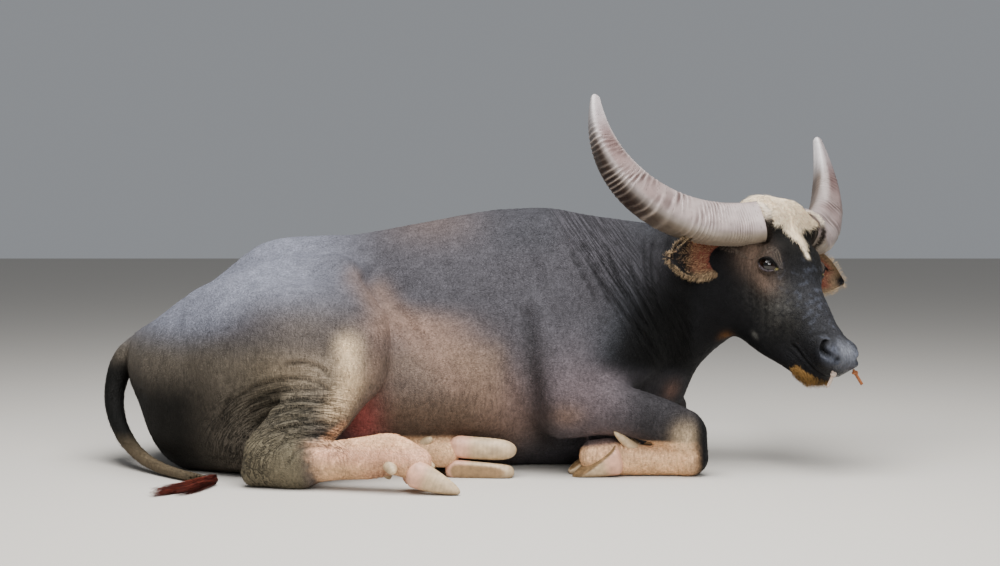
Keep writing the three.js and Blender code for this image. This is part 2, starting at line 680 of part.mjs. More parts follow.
// The plane where the flesh of a foot ends and its hooves begin.
function coronetPlane({ coronet, toe }) {
  return [coronet, new THREE.Vector3(...toe).sub(new THREE.Vector3(...coronet))];
}

function behindCoronet(solid, foot) {
  return parted(solid, ...coronetPlane(FEET[foot]))[1];
}

// Dewclaws: two blunt cones of horn above the heel of each foot.
const DEWCLAWS = {
  hind_right: [
    { root: [-270, -566, 70], tip: [-256, -604, 52], radius: 17 },
    { root: [-286, -520, 60], tip: [-270, -512, 22], radius: 16 },
  ],
  hind_left: [
    { root: [-196, -292, 84], tip: [-172, -318, 102], radius: 14 },
    { root: [-190, -296, 40], tip: [-166, -326, 26], radius: 14 },
  ],
  fore_right: [
    { root: [348, -304, 78], tip: [286, -332, 124], radius: 14 },
    { root: [348, -266, 74], tip: [298, -240, 112], radius: 14 },
  ],
  fore_left: [
    { root: [348, 304, 78], tip: [286, 332, 124], radius: 14 },
    { root: [348, 266, 74], tip: [298, 240, 112], radius: 14 },
  ],
};

const DEWCLAW_SIDES = 5;
function dewclawTube({ root, tip, radius }, grow = 0) {
  const side = new THREE.Vector3(0.3, 1, 0.2);
  return tubeOf(form([[...root, radius], [...tip, radius * 0.62]], { side, steps: 1 }), grow, DEWCLAW_SIDES);
}

function dewclaw(spec, sheath) {
  return largest(dewclawTube(spec).intersect(aboveFloor).subtract(sheath));
}

// Eyes: balls set into the sides of the head.
const EYE_RADIUS = 24;
const EYE_CENTRE = [100, 150, -31];

function ball(centre, radius, sides = 8) {
  const sphere = new THREE.SphereGeometry(radius, sides, Math.round(sides * 0.7));
  sphere.translate(...centre);
  return solidOfGeometry(sphere);
}

// Rope: it goes through the nose, with a knot and a short free end on each side.
const ROPE_RADIUS = 4.5;
const ROPE_SIDES = 6;
const ROPES = {
  right: { knot: [32, 470, -72], free: [30, 486, -106] },
  left: { knot: [-52, 470, -62], free: [-70, 500, -72] },
};
const KNOT_RADIUS = 8.5;

function noseRope({ knot, free }) {
  const start = headPoint(...knot);
  const end = headPoint(...free);
  const strand = tubeOf(form([[...start, ROPE_RADIUS], [...end, ROPE_RADIUS]], { steps: 1 }), 0, ROPE_SIDES);
  return strand.add(ball(start, KNOT_RADIUS, ROPE_SIDES));
}

// All pieces, each cut clear of its neighbours.
const nodes = new Map();
const skin = (solid, finish = "slateSkin") => ({ solid, finish });

const eyes = SIDES.map(({ sign }) => headPoint(-sign * EYE_CENTRE[0], EYE_CENTRE[1], EYE_CENTRE[2]));
const horns = SIDES.map(({ sign }) => ({ whole: horn(-sign, 0), hole: horn(-sign, 3 * CUT) }));
const ears = SIDES.map(({ name }) => ear(EARS[name]));
const ropes = SIDES.map(({ name }) => noseRope(ROPES[name]));

const hindRight = legOf(nearThigh, [nearShank, nearHock, nearHindCannon]);
const hindLeft = legOf(farThigh, []);
const hindLeftFoot = {
  whole: tubeOf(farHindCannon).intersect(aboveFloor),
  sheath: tubeOf(farHindCannon, CUT),
};
const fores = forelegs.map(({ arm, forearm, knee, cannon }) => legOf(arm, [forearm, knee, cannon]));
const tailHole = tubeOf(tail, 3 * CUT);

const NECK_ROOT = [400, 0, 400];
const NECK_ROOT_NORMAL = new THREE.Vector3(0.93, -0.1, 0.35);
const POLL_BACK = headPoint(0, -40, -60);
const POLL_NORMAL = headDirection(0, 0.785, 0.62);

// Head, with its own finer facets, in front of the plane from the back of the poll to the angle of the jaw.
const headBox = boxOf(headForms, HEAD_CELL * 1.5);
const [headWhole] = parted(solidOfField(fieldOf(bodyForms), headBox, HEAD_CELL), POLL_BACK, POLL_NORMAL);
const headGrown = solidOfField(fieldOf(bodyForms, 3 * CUT), headBox, HEAD_CELL);
let head = headWhole;
eyes.forEach((centre) => { head = head.subtract(ball(centre, EYE_RADIUS + 2 * CUT)); });
horns.forEach(({ hole }) => { head = head.subtract(hole); });
nodes.set("head", skin(largest(head), "blackSkin"));

// Trunk and neck, with the holes for the legs and the tail.
const coreForms = [
  ...torsoForms, ...rumpForms, nearThigh, nearFlankMuscle, farThigh,
  ...forelegs.flatMap(({ shoulder, triceps, arm }) => [shoulder, triceps, arm]), ...headForms.slice(0, 3),
];
const farToes = [1, -1].map((sign) => claw(FEET.hind_left, sign, 2));
const farDewclaws = DEWCLAWS.hind_left.map((spec) => dewclawTube(spec, CUT));
const holes = [
  hindRight.hole, hindLeft.hole, hindLeftFoot.sheath, ...fores.map(({ hole }) => hole),
  tailHole, ...farToes, ...farDewclaws,
];
const hollowed = (solid) => holes.reduce((rest, hole) => rest.subtract(hole), solid.intersect(aboveFloor));
const coreBox = boxOf([...torsoForms, ...rumpForms, nearThigh, farThigh], TRUNK_CELL * 1.5);
const [, trunk] = parted(solidOfField(fieldOf(coreForms), coreBox, TRUNK_CELL), NECK_ROOT, NECK_ROOT_NORMAL);
const neckBox = boxOf(torsoForms.slice(2, 4), NECK_CELL * 1.5);
const [neckOn] = parted(solidOfField(fieldOf(coreForms), neckBox, NECK_CELL), NECK_ROOT, NECK_ROOT_NORMAL);
const [, neck] = parted(neckOn, POLL_BACK, POLL_NORMAL);
nodes.set("trunk", skin(largest(hollowed(trunk))));
nodes.set("neck", skin(largest(hollowed(neck)), "blackSkin"));

SIDES.forEach(({ name }, n) => {
  nodes.set(`eye_${name}`, skin(ball(eyes[n], EYE_RADIUS), "darkEye"));
  nodes.set(`horn_${name}`, skin(horns[n].whole, "hornKeratin"));
  nodes.set(`ear_${name}`, skin(largest(ears[n].subtract(headGrown).subtract(horns[n].hole)), "blackSkin"));
  nodes.set(`nose_rope_${name}`, skin(ropes[n].subtract(headGrown), "ropeFibre"));
});

// Hooves and dewclaws, each clear of the flesh that carries it.
const sheaths = {
  hind_right: hindRight.sheath,
  hind_left: hindLeftFoot.sheath,
  fore_right: fores[0].sheath,
  fore_left: fores[1].sheath,
};
for (const [foot, shape] of Object.entries(FEET)) {
  nodes.set(`${foot}_claw_outer`, skin(largest(claw(shape, 1)), "hoofKeratin"));
  nodes.set(`${foot}_claw_inner`, skin(largest(claw(shape, -1)), "hoofKeratin"));
  DEWCLAWS[foot].forEach((spec, n) => {
    const place = n === 0 ? "outer" : "inner";
    nodes.set(`${foot}_dewclaw_${place}`, skin(dewclaw(spec, sheaths[foot]), "hoofKeratin"));
  });
}

// Legs in their lengths.
const [hindRightLower, hindRightThigh] = parted(hindRight.whole, ...jointPlane(STIFLE, THIGH_TOP, HOCK));
const [hindRightCannon, hindRightShank] = parted(hindRightLower, ...jointPlane(HOCK, STIFLE, HIND_FETLOCK));
nodes.set("hind_right_thigh", skin(largest(hindRightThigh)));
nodes.set("hind_right_shank", skin(largest(hindRightShank)));
nodes.set("hind_right_cannon", skin(largest(behindCoronet(hindRightCannon, "hind_right")), "creamSkin"));
nodes.set("hind_left_thigh", skin(hindLeft.whole));
nodes.set("hind_left_cannon", skin(behindCoronet(hindLeftFoot.whole, "hind_left"), "creamSkin"));
SIDES.forEach(({ name, sign }, n) => {
  const place = ([x, y, z]) => [x, sign * y, z];
  const [lower, arm] = parted(fores[n].whole, ...jointPlane(place(ELBOW), place(ARM_TOP), place(KNEE)));
  const [cannon, forearm] = parted(lower, ...jointPlane(place(KNEE), place(ELBOW), place(FORE_FETLOCK)));
  nodes.set(`fore_${name}_arm`, skin(largest(arm)));
  nodes.set(`fore_${name}_forearm`, skin(largest(forearm), "blackSkin"));
  nodes.set(`fore_${name}_cannon`, skin(largest(behindCoronet(cannon, `fore_${name}`)), "creamSkin"));
});

tailPieces().forEach((piece, n) => nodes.set(TAIL_PARTS[n], skin(largest(piece))));
nodes.set("tail_switch", skin(tubeOf(tailSwitch).intersect(aboveFloor), "maroonHair"));

function meshOf(name, { solid, finish }) {
  const { vertProperties, triVerts, numProp } = solid.getMesh();
  const geometry = new THREE.BufferGeometry();
  const position = new Float32Array((vertProperties.length / numProp) * 3);
  for (let v = 0; v < position.length / 3; v += 1) {
    for (let n = 0; n < 3; n += 1) position[v * 3 + n] = vertProperties[v * numProp + n];
  }
  geometry.setAttribute("position", new THREE.BufferAttribute(position, 3));
  geometry.setIndex(new THREE.BufferAttribute(new Uint32Array(triVerts), 1));
  geometry.computeVertexNormals();
  const [color, roughness] = FINISH[finish];
  const mesh = new THREE.Mesh(geometry, new THREE.MeshStandardMaterial({ color, roughness, metalness: 0 }));
  mesh.name = name;
  return mesh;
}

// The origin of the part is the middle of its box, on the floor.
const buffalo = new THREE.Group();
for (const [name, piece] of nodes) buffalo.add(meshOf(name, piece));
const extent = new THREE.Box3().setFromObject(buffalo, true);
const middle = extent.getCenter(new THREE.Vector3());
buffalo.position.set(-middle.x, -middle.y, -extent.min.z);

export default buffalo;
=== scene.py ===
# %% [markdown]
# # A swamp buffalo at rest
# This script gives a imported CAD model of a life-size water buffalo its looks. The animal lies on its
# brisket with the hips rolled over, its head turned to the camera, and a rope through its nose. All
# lengths are metres unless a name or a table says millimetres. +X runs to the head end, -Y is the animal's
# right side, which faces the camera, and +Z is up.

# %% Load the frame
import math

import bpy
import numpy as np
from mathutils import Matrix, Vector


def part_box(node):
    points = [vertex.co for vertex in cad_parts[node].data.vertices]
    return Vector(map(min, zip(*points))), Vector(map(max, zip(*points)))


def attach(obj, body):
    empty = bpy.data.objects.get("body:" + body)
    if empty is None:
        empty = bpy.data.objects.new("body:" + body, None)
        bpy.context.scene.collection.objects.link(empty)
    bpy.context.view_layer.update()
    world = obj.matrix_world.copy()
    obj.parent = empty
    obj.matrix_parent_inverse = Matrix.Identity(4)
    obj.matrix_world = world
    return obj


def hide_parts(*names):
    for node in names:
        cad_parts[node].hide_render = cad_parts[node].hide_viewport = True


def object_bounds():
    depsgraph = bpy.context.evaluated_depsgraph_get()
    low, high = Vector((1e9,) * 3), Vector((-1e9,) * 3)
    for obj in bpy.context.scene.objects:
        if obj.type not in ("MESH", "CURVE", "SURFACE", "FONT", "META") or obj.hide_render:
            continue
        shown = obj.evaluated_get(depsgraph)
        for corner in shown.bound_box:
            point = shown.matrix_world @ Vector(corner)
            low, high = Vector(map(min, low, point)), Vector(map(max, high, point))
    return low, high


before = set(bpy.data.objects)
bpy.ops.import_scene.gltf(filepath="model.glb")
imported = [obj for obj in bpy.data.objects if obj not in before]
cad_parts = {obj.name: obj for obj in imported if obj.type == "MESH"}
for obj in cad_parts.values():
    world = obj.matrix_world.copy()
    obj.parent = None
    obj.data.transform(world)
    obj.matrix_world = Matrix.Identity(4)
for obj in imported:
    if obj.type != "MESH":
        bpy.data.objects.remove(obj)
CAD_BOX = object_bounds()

MM = 0.001
random = np.random.default_rng(20)
print("CAD box:", [[round(v, 3) for v in corner] for corner in CAD_BOX])

# %% [markdown]
# ## Camera, floor and light
# The camera stands where the photograph was taken from, 0.8 m above the floor, with a long lens.
# The floor is plain and pale. One wide soft light hangs above the near side, and a weaker
# one fills from the front.

# %% Camera, floor and light
CAMERA_PLACE_MM = (49.2, -5413.9, 800.0)
CAMERA_DOWN_DEGREES = 3.32
CAMERA_LENS = 73.26
FLOOR_SIZE = 24.0


def link(thing, name):
    """Puts new camera, light or mesh data into the scene as an object."""
    made = bpy.data.objects.new(name, thing)
    bpy.context.scene.collection.objects.link(made)
    return made


camera = link(bpy.data.cameras.new("camera"), "camera")
camera.data.lens = CAMERA_LENS
camera.rotation_euler = (math.radians(90 - CAMERA_DOWN_DEGREES), 0, 0)
bpy.context.scene.camera = camera

for name, place, turn, size, power in (
    ("light_above", (0.0, -1.1, 3.4), (-2, 0, 0), 3.2, 340),
    ("light_front", (1.2, -4.4, 2.6), (56, 0, 16), 2.4, 148),
):
    lamp = link(bpy.data.lights.new(name, "AREA"), name)
    lamp.data.size = size
    lamp.data.energy = power
    lamp.location = place
    lamp.rotation_euler = [math.radians(v) for v in turn]

sky = bpy.data.worlds.new("pale_room")
bpy.context.scene.world = sky
sky.use_nodes = True
sky.node_tree.nodes["Background"].inputs["Color"].default_value = (0.90, 0.94, 1.0, 1)
sky.node_tree.nodes["Background"].inputs["Strength"].default_value = 0.30
print(len(bpy.data.lights), "lights and a pale room")

# %% [markdown]
# ## Helpers for materials and meshes
# Colours are written as sRGB hex codes. `add` makes one shader node. A piece of the model is one mesh object
# that rides on the CAD body and stands for the CAD nodes it replaces.


# %% Helpers for materials and meshes
def linear(code):
    """Linear colour of an sRGB hex code: c/12.92 up to 0.04045, above it ((c + 0.055)/1.055)^2.4."""
    c = np.array([int(code[i:i + 2], 16) / 255 for i in (1, 3, 5)])
    return np.where(c <= 0.04045, c / 12.92, ((c + 0.055) / 1.055) ** 2.4)


def add(material, kind, sockets=(), **settings):
    """Adds a shader node. `sockets` gives each input a value, or an output of another node to link to it."""
    node = material.node_tree.nodes.new("ShaderNode" + kind)
    for name, value in settings.items():
        setattr(node, name, value)
    fill(material, node, dict(sockets))
    return node


def fill(material, node, sockets):
    """Sets or links the inputs of a node."""
    for name, value in sockets.items():
        if isinstance(value, bpy.types.NodeSocket):
            material.node_tree.links.new(value, node.inputs[name])
        else:
            node.inputs[name].default_value = value


def new_material(name):
    """A node material and its surface shader."""
    material = bpy.data.materials.new(name)
    material.use_nodes = True
    return material, material.node_tree.nodes["Principled BSDF"]


def new_mesh(name, points, faces, colours=None, patches=None):
    """A smooth mesh object. `faces` has one row of corner numbers per face, all of one length."""
    mesh = bpy.data.meshes.new(name)
    faces = np.ascontiguousarray(faces, np.int32)
    mesh.vertices.add(len(points))
    mesh.vertices.foreach_set("co", np.ascontiguousarray(points, np.float32).ravel())
    mesh.loops.add(faces.size)
    mesh.loops.foreach_set("vertex_index", faces.ravel())
    mesh.polygons.add(len(faces))
    mesh.polygons.foreach_set("loop_start", np.arange(0, faces.size, faces.shape[1], dtype=np.int32))
    mesh.polygons.foreach_set("use_smooth", np.ones(len(faces), bool))
    mesh.update(calc_edges=True)
    if colours is not None:
        rgba = np.ones((len(points), 4), np.float32)
        rgba[:, :3] = colours
        mesh.color_attributes.new("markings", "FLOAT_COLOR", "POINT").data.foreach_set("color", rgba.ravel())
    if patches is not None:
        corners = patches[faces.ravel()].astype(np.float32)
        mesh.uv_layers.new(name="OFBake").data.foreach_set("uv", corners.ravel())
    return link(mesh, name)


def finish_piece(piece, material, nodes=()):
    """The piece gets its material, rides on the animal and stands for CAD nodes."""
    piece.data.materials.append(material)
    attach(piece, "root")
    if nodes:
        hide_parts(*nodes)
    print(piece.name, "has", sum(len(p.vertices) - 2 for p in piece.data.polygons), "triangles")


def plain(code, count):
    """One hex colour for each of a number of points."""
    return np.tile(linear(code), (count, 1))


def blend_to(colours, code, amount):
    """Mixes a hex colour into each point's colour by `amount`, from 0 to 1."""
    amount = np.clip(amount, 0, 1)[:, None]
    return colours * (1 - amount) + linear(code) * amount


def layered(colours, palette, layers, where=1):
    """Lays named colours of a palette over each other, each by its own amount times `where`."""
    for name, amount in layers:
        colours = blend_to(colours, palette[name], amount * where)
    return colours


def toned(material, colour, pattern, span, tones):
    """A colour scaled by a tone, which runs over `tones` while the pattern's value runs over `span`."""
    tone = add(material, "MapRange", {"Value": pattern, "From Min": span[0], "From Max": span[1],
                                      "To Min": tones[0], "To Max": tones[1]})
    scaled = add(material, "VectorMath", {0: colour, "Scale": tone.outputs["Result"]}, operation="SCALE")
    return scaled.outputs["Vector"]


def unit(rows):
    """Each row of an array made 1 long: v/|v|."""
    return rows / np.maximum(np.linalg.norm(rows, axis=1, keepdims=True), 1e-9)


def ramp(value, low, high):
    """Smooth step from 0 at `low` to 1 at `high`: 3t² - 2t³."""
    t = np.clip((value - low) / (high - low), 0, 1)
    return t * t * (3 - 2 * t)


floor_points = np.array([[-1, -1, 0], [1, -1, 0], [1, 1, 0], [-1, 1, 0]]) * FLOOR_SIZE / 2
floor = new_mesh("floor", floor_points, [[0, 1, 2, 3]])
# Matt paint has no highlight, so the floor stays an even pale ground with soft shadows.
pale_floor, floor_shader = new_material("matt pale paint")
fill(pale_floor, floor_shader, {"Base Color": (*linear("#bfbab2"), 1), "Roughness": 0.9})
floor.data.materials.append(pale_floor)

# %% [markdown]
# ## The head's own frame
# A place on the head is (towards the right cheek, down the face, out of the face), in millimetres from a
# point between the horns. The head is turned 45° to the camera's side and its nose points 49° down.

# %% The head's own frame
HEAD_TURN, HEAD_DIP, HEAD_ROLL = (math.radians(v) for v in (45, 49, -6))
HEAD_ORIGIN_MM = np.array([730.0, -55.0, 660.0])
EYE_RADIUS_MM = 26.5
EYE_MM = np.array([100, 150, -31])


def turned(vector, axis, angle):
    """Rodrigues: v cos a + (k × v) sin a + k (k·v)(1 - cos a)."""
    dotted = axis * (axis @ vector)
    across = np.cross(axis, vector)
    return vector * math.cos(angle) + across * math.sin(angle) + dotted * (1 - math.cos(angle))


heading = np.array([math.cos(HEAD_TURN), -math.sin(HEAD_TURN), 0])
noseward = heading * math.cos(HEAD_DIP) - np.array([0, 0, math.sin(HEAD_DIP)])
cheekward = np.array([-math.sin(HEAD_TURN), -math.cos(HEAD_TURN), 0])
level_axes = (cheekward, noseward, np.cross(cheekward, noseward))
HEAD_AXES = np.array([turned(axis, heading, HEAD_ROLL) for axis in level_axes])

# The CAD model is centred on its box, so its tables and these differ by one shift, which an eye shows.
eye_box = np.array([list(corner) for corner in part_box("eye_right")])
SHIFT = eye_box.mean(axis=0) - (HEAD_ORIGIN_MM + EYE_MM @ HEAD_AXES) * MM
SHIFT[2] = 0


def head_direction(*place):
    """A direction given along the head's axes, of length 1."""
    vector = np.array(place, float) @ HEAD_AXES
    return vector / np.linalg.norm(vector)


def head_point(place):
    """A place on the head, from millimetres to metres in the CAD's frame."""
    return (HEAD_ORIGIN_MM + np.asarray(place, float) @ HEAD_AXES) * MM + SHIFT


def on_head(points):
    """Points in the CAD's frame as places on the head, in millimetres."""
    return ((points - SHIFT) / MM - HEAD_ORIGIN_MM) @ HEAD_AXES.T


# Places on the body are measured in millimetres from a point on the floor under the middle of the trunk.
BODY_ORIGIN = SHIFT - np.array([49.2, 86.1, 0]) * MM
camera.location = BODY_ORIGIN + np.array(CAMERA_PLACE_MM) * MM


def on_body(points):
    """Points in the CAD's frame as places on the body, in millimetres."""
    return (points - BODY_ORIGIN) / MM


print("shift from the tables:", SHIFT.round(4))

# %% [markdown]
# ## Forms of the body
# The body is a smooth union of forms: elliptical sections carried along smooth paths, like muscles and
# lengths of limb. They are the same forms as in the CAD model. A station is x, y, z, half width and half
# depth, or x, y, z and one radius, in millimetres, and the width lies along `side`.

# %% Forms of the body
ACROSS = np.array([0.0, 1.0, 0.0])


def smooth_path(rows, steps):
    """Catmull-Rom points: (2b + (c - a)t + (2a - 5b + 4c - d)t² + (3b - a - 3c + d)t³)/2."""
    rows = np.vstack([2 * rows[0] - rows[1], rows, 2 * rows[-1] - rows[-2]])
    t = (np.arange(steps) / steps)[None, :, None]
    a, b, c, d = (rows[i:len(rows) - 3 + i, None] for i in range(4))
    path = (2 * b + (c - a) * t + (2 * a - 5 * b + 4 * c - d) * t**2 + (3 * b - a - 3 * c + d) * t**3) / 2
    return np.vstack([path.reshape(-1, rows.shape[1]), rows[-2]])


def form(stations, side=ACROSS, blend=50, steps=4):
    """One form, in metres in the CAD's frame."""
    rows = np.array([s if len(s) == 5 else (*s, s[3]) for s in stations], float) * MM
    rows[:, :3] += SHIFT
    path = smooth_path(rows, steps)
    return {"path": path, "side": np.asarray(side, float), "blend": blend * MM}


def head_form(stations, blend=50, steps=4):
    """A form given by places on the head."""
    placed = [(*(HEAD_ORIGIN_MM + np.array(s[:3], float) @ HEAD_AXES), *s[3:]) for s in stations]
    return form(placed, HEAD_AXES[0], blend, steps)


def head_pair(stations, blend=50):
    """The same form on both cheeks."""
    return [head_form([(sign * s[0], *s[1:]) for s in stations], blend) for sign in (1, -1)]


torso = [
    form([(400, 0, 375, 125, 185), (250, 0, 355, 180, 270), (80, 0, 345, 215, 305), (-120, 0, 330, 240, 295),
          (-320, 0, 315, 240, 270), (-500, 0, 310, 210, 250)], blend=20, steps=6),
    form([(220, 0, 190, 190, 190), (0, 0, 200, 280, 208), (-200, -10, 210, 335, 218),
          (-380, -20, 210, 325, 213), (-520, -20, 200, 260, 200)], blend=120, steps=6),
    form([(-600, 0, 520, 55), (-420, 0, 540, 55), (-200, 0, 575, 55), (0, 0, 612, 55), (160, 0, 606, 55),
          (380, -5, 582, 50), (560, -30, 585, 48), (670, -50, 605, 55)], blend=100),
    form([(340, 0, 395, 165, 225), (440, -8, 430, 150, 190), (540, -28, 470, 128, 160),
          (650, -55, 520, 108, 130)], blend=80, steps=5),
    form([(180, 0, 130, 130, 120), (320, 0, 150, 105, 110), (400, 0, 215, 70, 95)], blend=90),
]
PELVIS_ROLL = math.radians(15)
rump = [
    form([(-440, -10, 455, 190, 70), (-600, -10, 440, 195, 80), (-780, -5, 345, 140, 75),
          (-920, 0, 275, 70, 50)], (0, math.cos(PELVIS_ROLL), -math.sin(PELVIS_ROLL)), 90),
    form([(-480, 0, 525, 45), (-620, 0, 515, 50), (-800, 5, 405, 48), (-945, 5, 315, 42)], blend=90),
    form([(-440, -190, 500, 42), (-600, -190, 420, 110), (-770, -140, 330, 125), (-905, -75, 255, 80)],
         blend=90),
    form([(-455, 190, 425, 60), (-600, 195, 345, 130), (-770, 145, 265, 125), (-900, 85, 215, 75)],
         blend=90),
    form([(-700, -160, 240, 190, 220), (-800, -140, 190, 150, 170)], blend=80),
    form([(-720, 140, 170, 190, 180), (-800, 100, 150, 130, 140)], blend=80),
    form([(-800, -170, 112, 100, 112), (-650, -255, 115, 105, 115)], blend=70),
]
near_hind = [
    form([(-640, -240, 310, 165, 195), (-510, -310, 325, 140, 175), (-430, -345, 340, 110, 150),
          (-385, -375, 320, 85, 120)], blend=60, steps=5),
    form([(-430, -200, 485, 50), (-375, -300, 440, 62), (-350, -370, 365, 62), (-360, -395, 290, 62)],
         blend=60, steps=5),
    form([(-385, -400, 275, 62, 85), (-460, -430, 185, 62, 88), (-530, -455, 116, 55, 80),
          (-580, -468, 72, 50, 70)], blend=35, steps=5),
    form([(-610, -470, 36, 38), (-560, -482, 56, 45, 60), (-490, -498, 58, 42, 60)], blend=30),
    form([(-520, -492, 60, 42, 58), (-410, -512, 72, 38, 52), (-320, -532, 82, 42, 56),
          (-265, -545, 92, 43, 53), (-205, -555, 70, 40, 44)], blend=25, steps=5),
]
far_hind = [
    form([(-620, 220, 180, 170), (-430, 270, 145, 135)], blend=80),
    form([(-360, -200, 42, 44), (-260, -252, 52, 40), (-190, -278, 60, 42), (-140, -298, 58, 38)], blend=20),
]


def foreleg(sign):
    """The folded foreleg of one side: shoulder blade, triceps, arm, forearm, knee and cannon."""
    tables = (
        (110, 4, [(90, 85, 555, 45, 90), (210, 135, 470, 60, 120), (320, 150, 380, 70, 120)]),
        (60, 4, [(110, 180, 410, 60, 100), (140, 235, 270, 78, 105), (150, 255, 205, 78, 85)]),
        (60, 4, [(340, 165, 335, 65, 95), (260, 210, 265, 72, 100), (180, 250, 205, 78, 92)]),
        (40, 5, [(165, 262, 180, 70, 85), (290, 285, 172, 66, 70), (400, 292, 146, 54, 62),
                 (470, 290, 116, 48, 60)]),
        (25, 4, [(480, 290, 106, 46, 56), (492, 287, 46, 43, 48)]),
        (18, 5, [(490, 285, 38, 38, 40), (405, 285, 38, 33, 40), (330, 285, 43, 38, 45),
                 (285, 285, 48, 43, 50), (240, 285, 50, 38, 44)]),
    )
    return [form([(x, sign * y, z, *r) for x, y, z, *r in rows], ACROSS, blend, steps)
            for blend, steps, rows in tables]


near_fore, far_fore = foreleg(-1), foreleg(1)
tail = form([(-950, 10, 315, 48), (-1015, 5, 275, 38), (-1042, -15, 200, 31), (-1032, -60, 130, 27),
             (-985, -140, 66, 23), (-910, -240, 26, 19), (-820, -350, 15, 16), (-740, -430, 12, 13)],
            (0.31, 0.95, 0.02), 12, 4)
skull = [
    head_form([(0, 5, -38, 86, 74), (0, 75, -46, 100, 76), (0, 145, -56, 93, 78)]),
    head_form([(50, 0, -6, 47), (-50, 0, -6, 47)]),
    head_form([(0, 130, -72, 88, 95), (0, 220, -78, 77, 84), (0, 310, -80, 67, 74), (0, 390, -80, 60, 62)],
              40),
    head_form([(0, 385, -66, 62, 46), (0, 428, -68, 66, 44)], 30),
    *head_pair([(44, 415, -42, 25), (44, 440, -46, 21)], 24),
    head_form([(0, 385, -128, 42, 26), (0, 428, -127, 38, 22)], 20),
    *head_pair([(72, 70, -165, 34, 60), (64, 160, -190, 34, 56), (52, 250, -187, 32, 46),
                (36, 340, -162, 28, 33), (20, 410, -140, 24, 22)]),
    head_form([(0, 90, -170, 50, 60), (0, 200, -185, 40, 45)], 60),
    *head_pair([(58, 90, -115, 42, 62), (58, 180, -128, 37, 66), (48, 275, -128, 34, 48)]),
    *head_pair([(78, 165, -58, 25), (68, 260, -84, 25)]),
    *head_pair([(76, 126, -16, 30), (80, 150, -28, 26)], 40),
    *head_pair([(60, 18, -8, 52), (106, 40, 2, 42)], 40),
]
body = [*torso, *rump, *near_hind, *far_hind, *near_fore, *far_fore, *skull, tail]
print(len(body), "forms with", sum(len(f["path"]) for f in body), "sections")

# %% [markdown]
# ## Distance to the skin
# The signed distance to each form is negative inside. Forms join one after the other in a smooth union. An
# ear is a hollowed leaf, and its thickness can be given, because the mesh starts with thick ears and thins
# them later. The skin lies a few millimetres inside the CAD solids, which reach to the tips of the coat.

# %% Distance to the skin
COAT_DEPTH = 3 * MM
REACH = 0.13
FAR_AWAY = 1.0
EAR_HALF_WIDTH, EAR_HOLLOW, EAR_BLEND = 54 * MM, 34 * MM, 14 * MM
# Half the thickness of an ear on the first net, once it is refined, and in the end.
EAR_HALF_FIRST, EAR_HALF_NEXT, EAR_HALF_LAST = 9 * MM, 7 * MM, 4.5 * MM
EARS = {
    "right": {"root": (112, 52, -98), "axis": (1, 0.02, -0.2), "face": (0, 0.73, 0.68), "length": 225 * MM},
    "left": {"root": (-112, 52, -98), "axis": (-1, 0.27, -0.02), "face": (0, 0.6, 0.8), "length": 235 * MM},
}


def ear_frame(ear):
    """Root, and the directions along the ear, across it and out of its hollow."""
    along = head_direction(*ear["axis"])
    facing = head_direction(*ear["face"])
    facing = facing - along * (facing @ along)
    facing /= np.linalg.norm(facing)
    return head_point(ear["root"]), along, np.cross(facing, along), facing


def ear_width(u):
    """Half width of the leaf at u, from root 0 to tip 1: W(0.42 + 0.58 sin(πu/1.05)^0.9)(1 - u⁶) + 3 mm."""
    u = np.clip(u, 0, 1)
    swell = np.sin(np.pi * np.minimum(u / 1.05, 1)) ** 0.9
    return EAR_HALF_WIDTH * (0.42 + 0.58 * swell) * (1 - u**6) + 3 * MM


def ear_place(points, ear):
    """Points in the ear's own directions: u along it, across it in metres, and height over its leaf."""
    root, along, across, facing = ear_frame(ear)
    offset = points - root
    u = offset @ along / ear["length"]
    v = offset @ across
    width = ear_width(u)
    bowl = EAR_HOLLOW * (width / EAR_HALF_WIDTH) * (1 - (v / width) ** 2)
    return u, v, width, offset @ facing + np.where(np.abs(v) < width, bowl, 0)


def near_leaf(place, first, last, beside, over):
    """Which ear places lie on the leaf: u from first to last, `beside` past its edge, `over` off its face."""
    u, v, width, height = place
    return (u > first) & (u < last) & (np.abs(v) < width + beside) & (np.abs(height) < over)


def ear_distance(points, ear, half):
    """Rounded leaf: |(height, distance past the outline)| - half."""
    u, v, width, height = ear_place(points, ear)
    slope = 2 * EAR_HOLLOW * np.clip(np.abs(v) / width, 0, 1) / EAR_HALF_WIDTH
    height = np.abs(height) / np.sqrt(1 + slope**2)
    past = np.maximum(np.abs(v) - width, np.maximum(-u, u - 1) * ear["length"])
    return np.where(past > 0, np.hypot(height, past), height) - half


def cone_distance(points, a, b, side):
    """Elliptical cone from station a to b: k(k - 1)/|q/r²|, with q the offset, r the radii and k = |q/r|."""
    along = b[:3] - a[:3]
    length = np.linalg.norm(along)
    axis = along / length
    offset = points - a[:3]
    t = np.clip(offset @ axis / length, 0, 1)
    wide = side - axis * (side @ axis)
    wide = wide / np.linalg.norm(wide)
    half_width, half_depth = (a[i] + (b[i] - a[i]) * t for i in (3, 4))
    radii = (half_width, half_depth, np.minimum(half_width, half_depth))
    rest = offset - t[:, None] * along
    q = [rest @ direction / r for direction, r in zip((wide, np.cross(axis, wide), axis), radii)]
    k = np.sqrt(q[0]**2 + q[1]**2 + q[2]**2)
    steep = np.sqrt(sum((part / r) ** 2 for part, r in zip(q, radii)))
    return np.where(steep < 1e-6, -radii[2], k * (k - 1) / np.maximum(steep, 1e-6))


def inside_box(points, corners, margin):
    """Numbers of the points within `margin` of the box of some corners."""
    low, high = corners.min(axis=0) - margin, corners.max(axis=0) + margin
    return np.flatnonzero(np.all((points > low) & (points < high), axis=1))


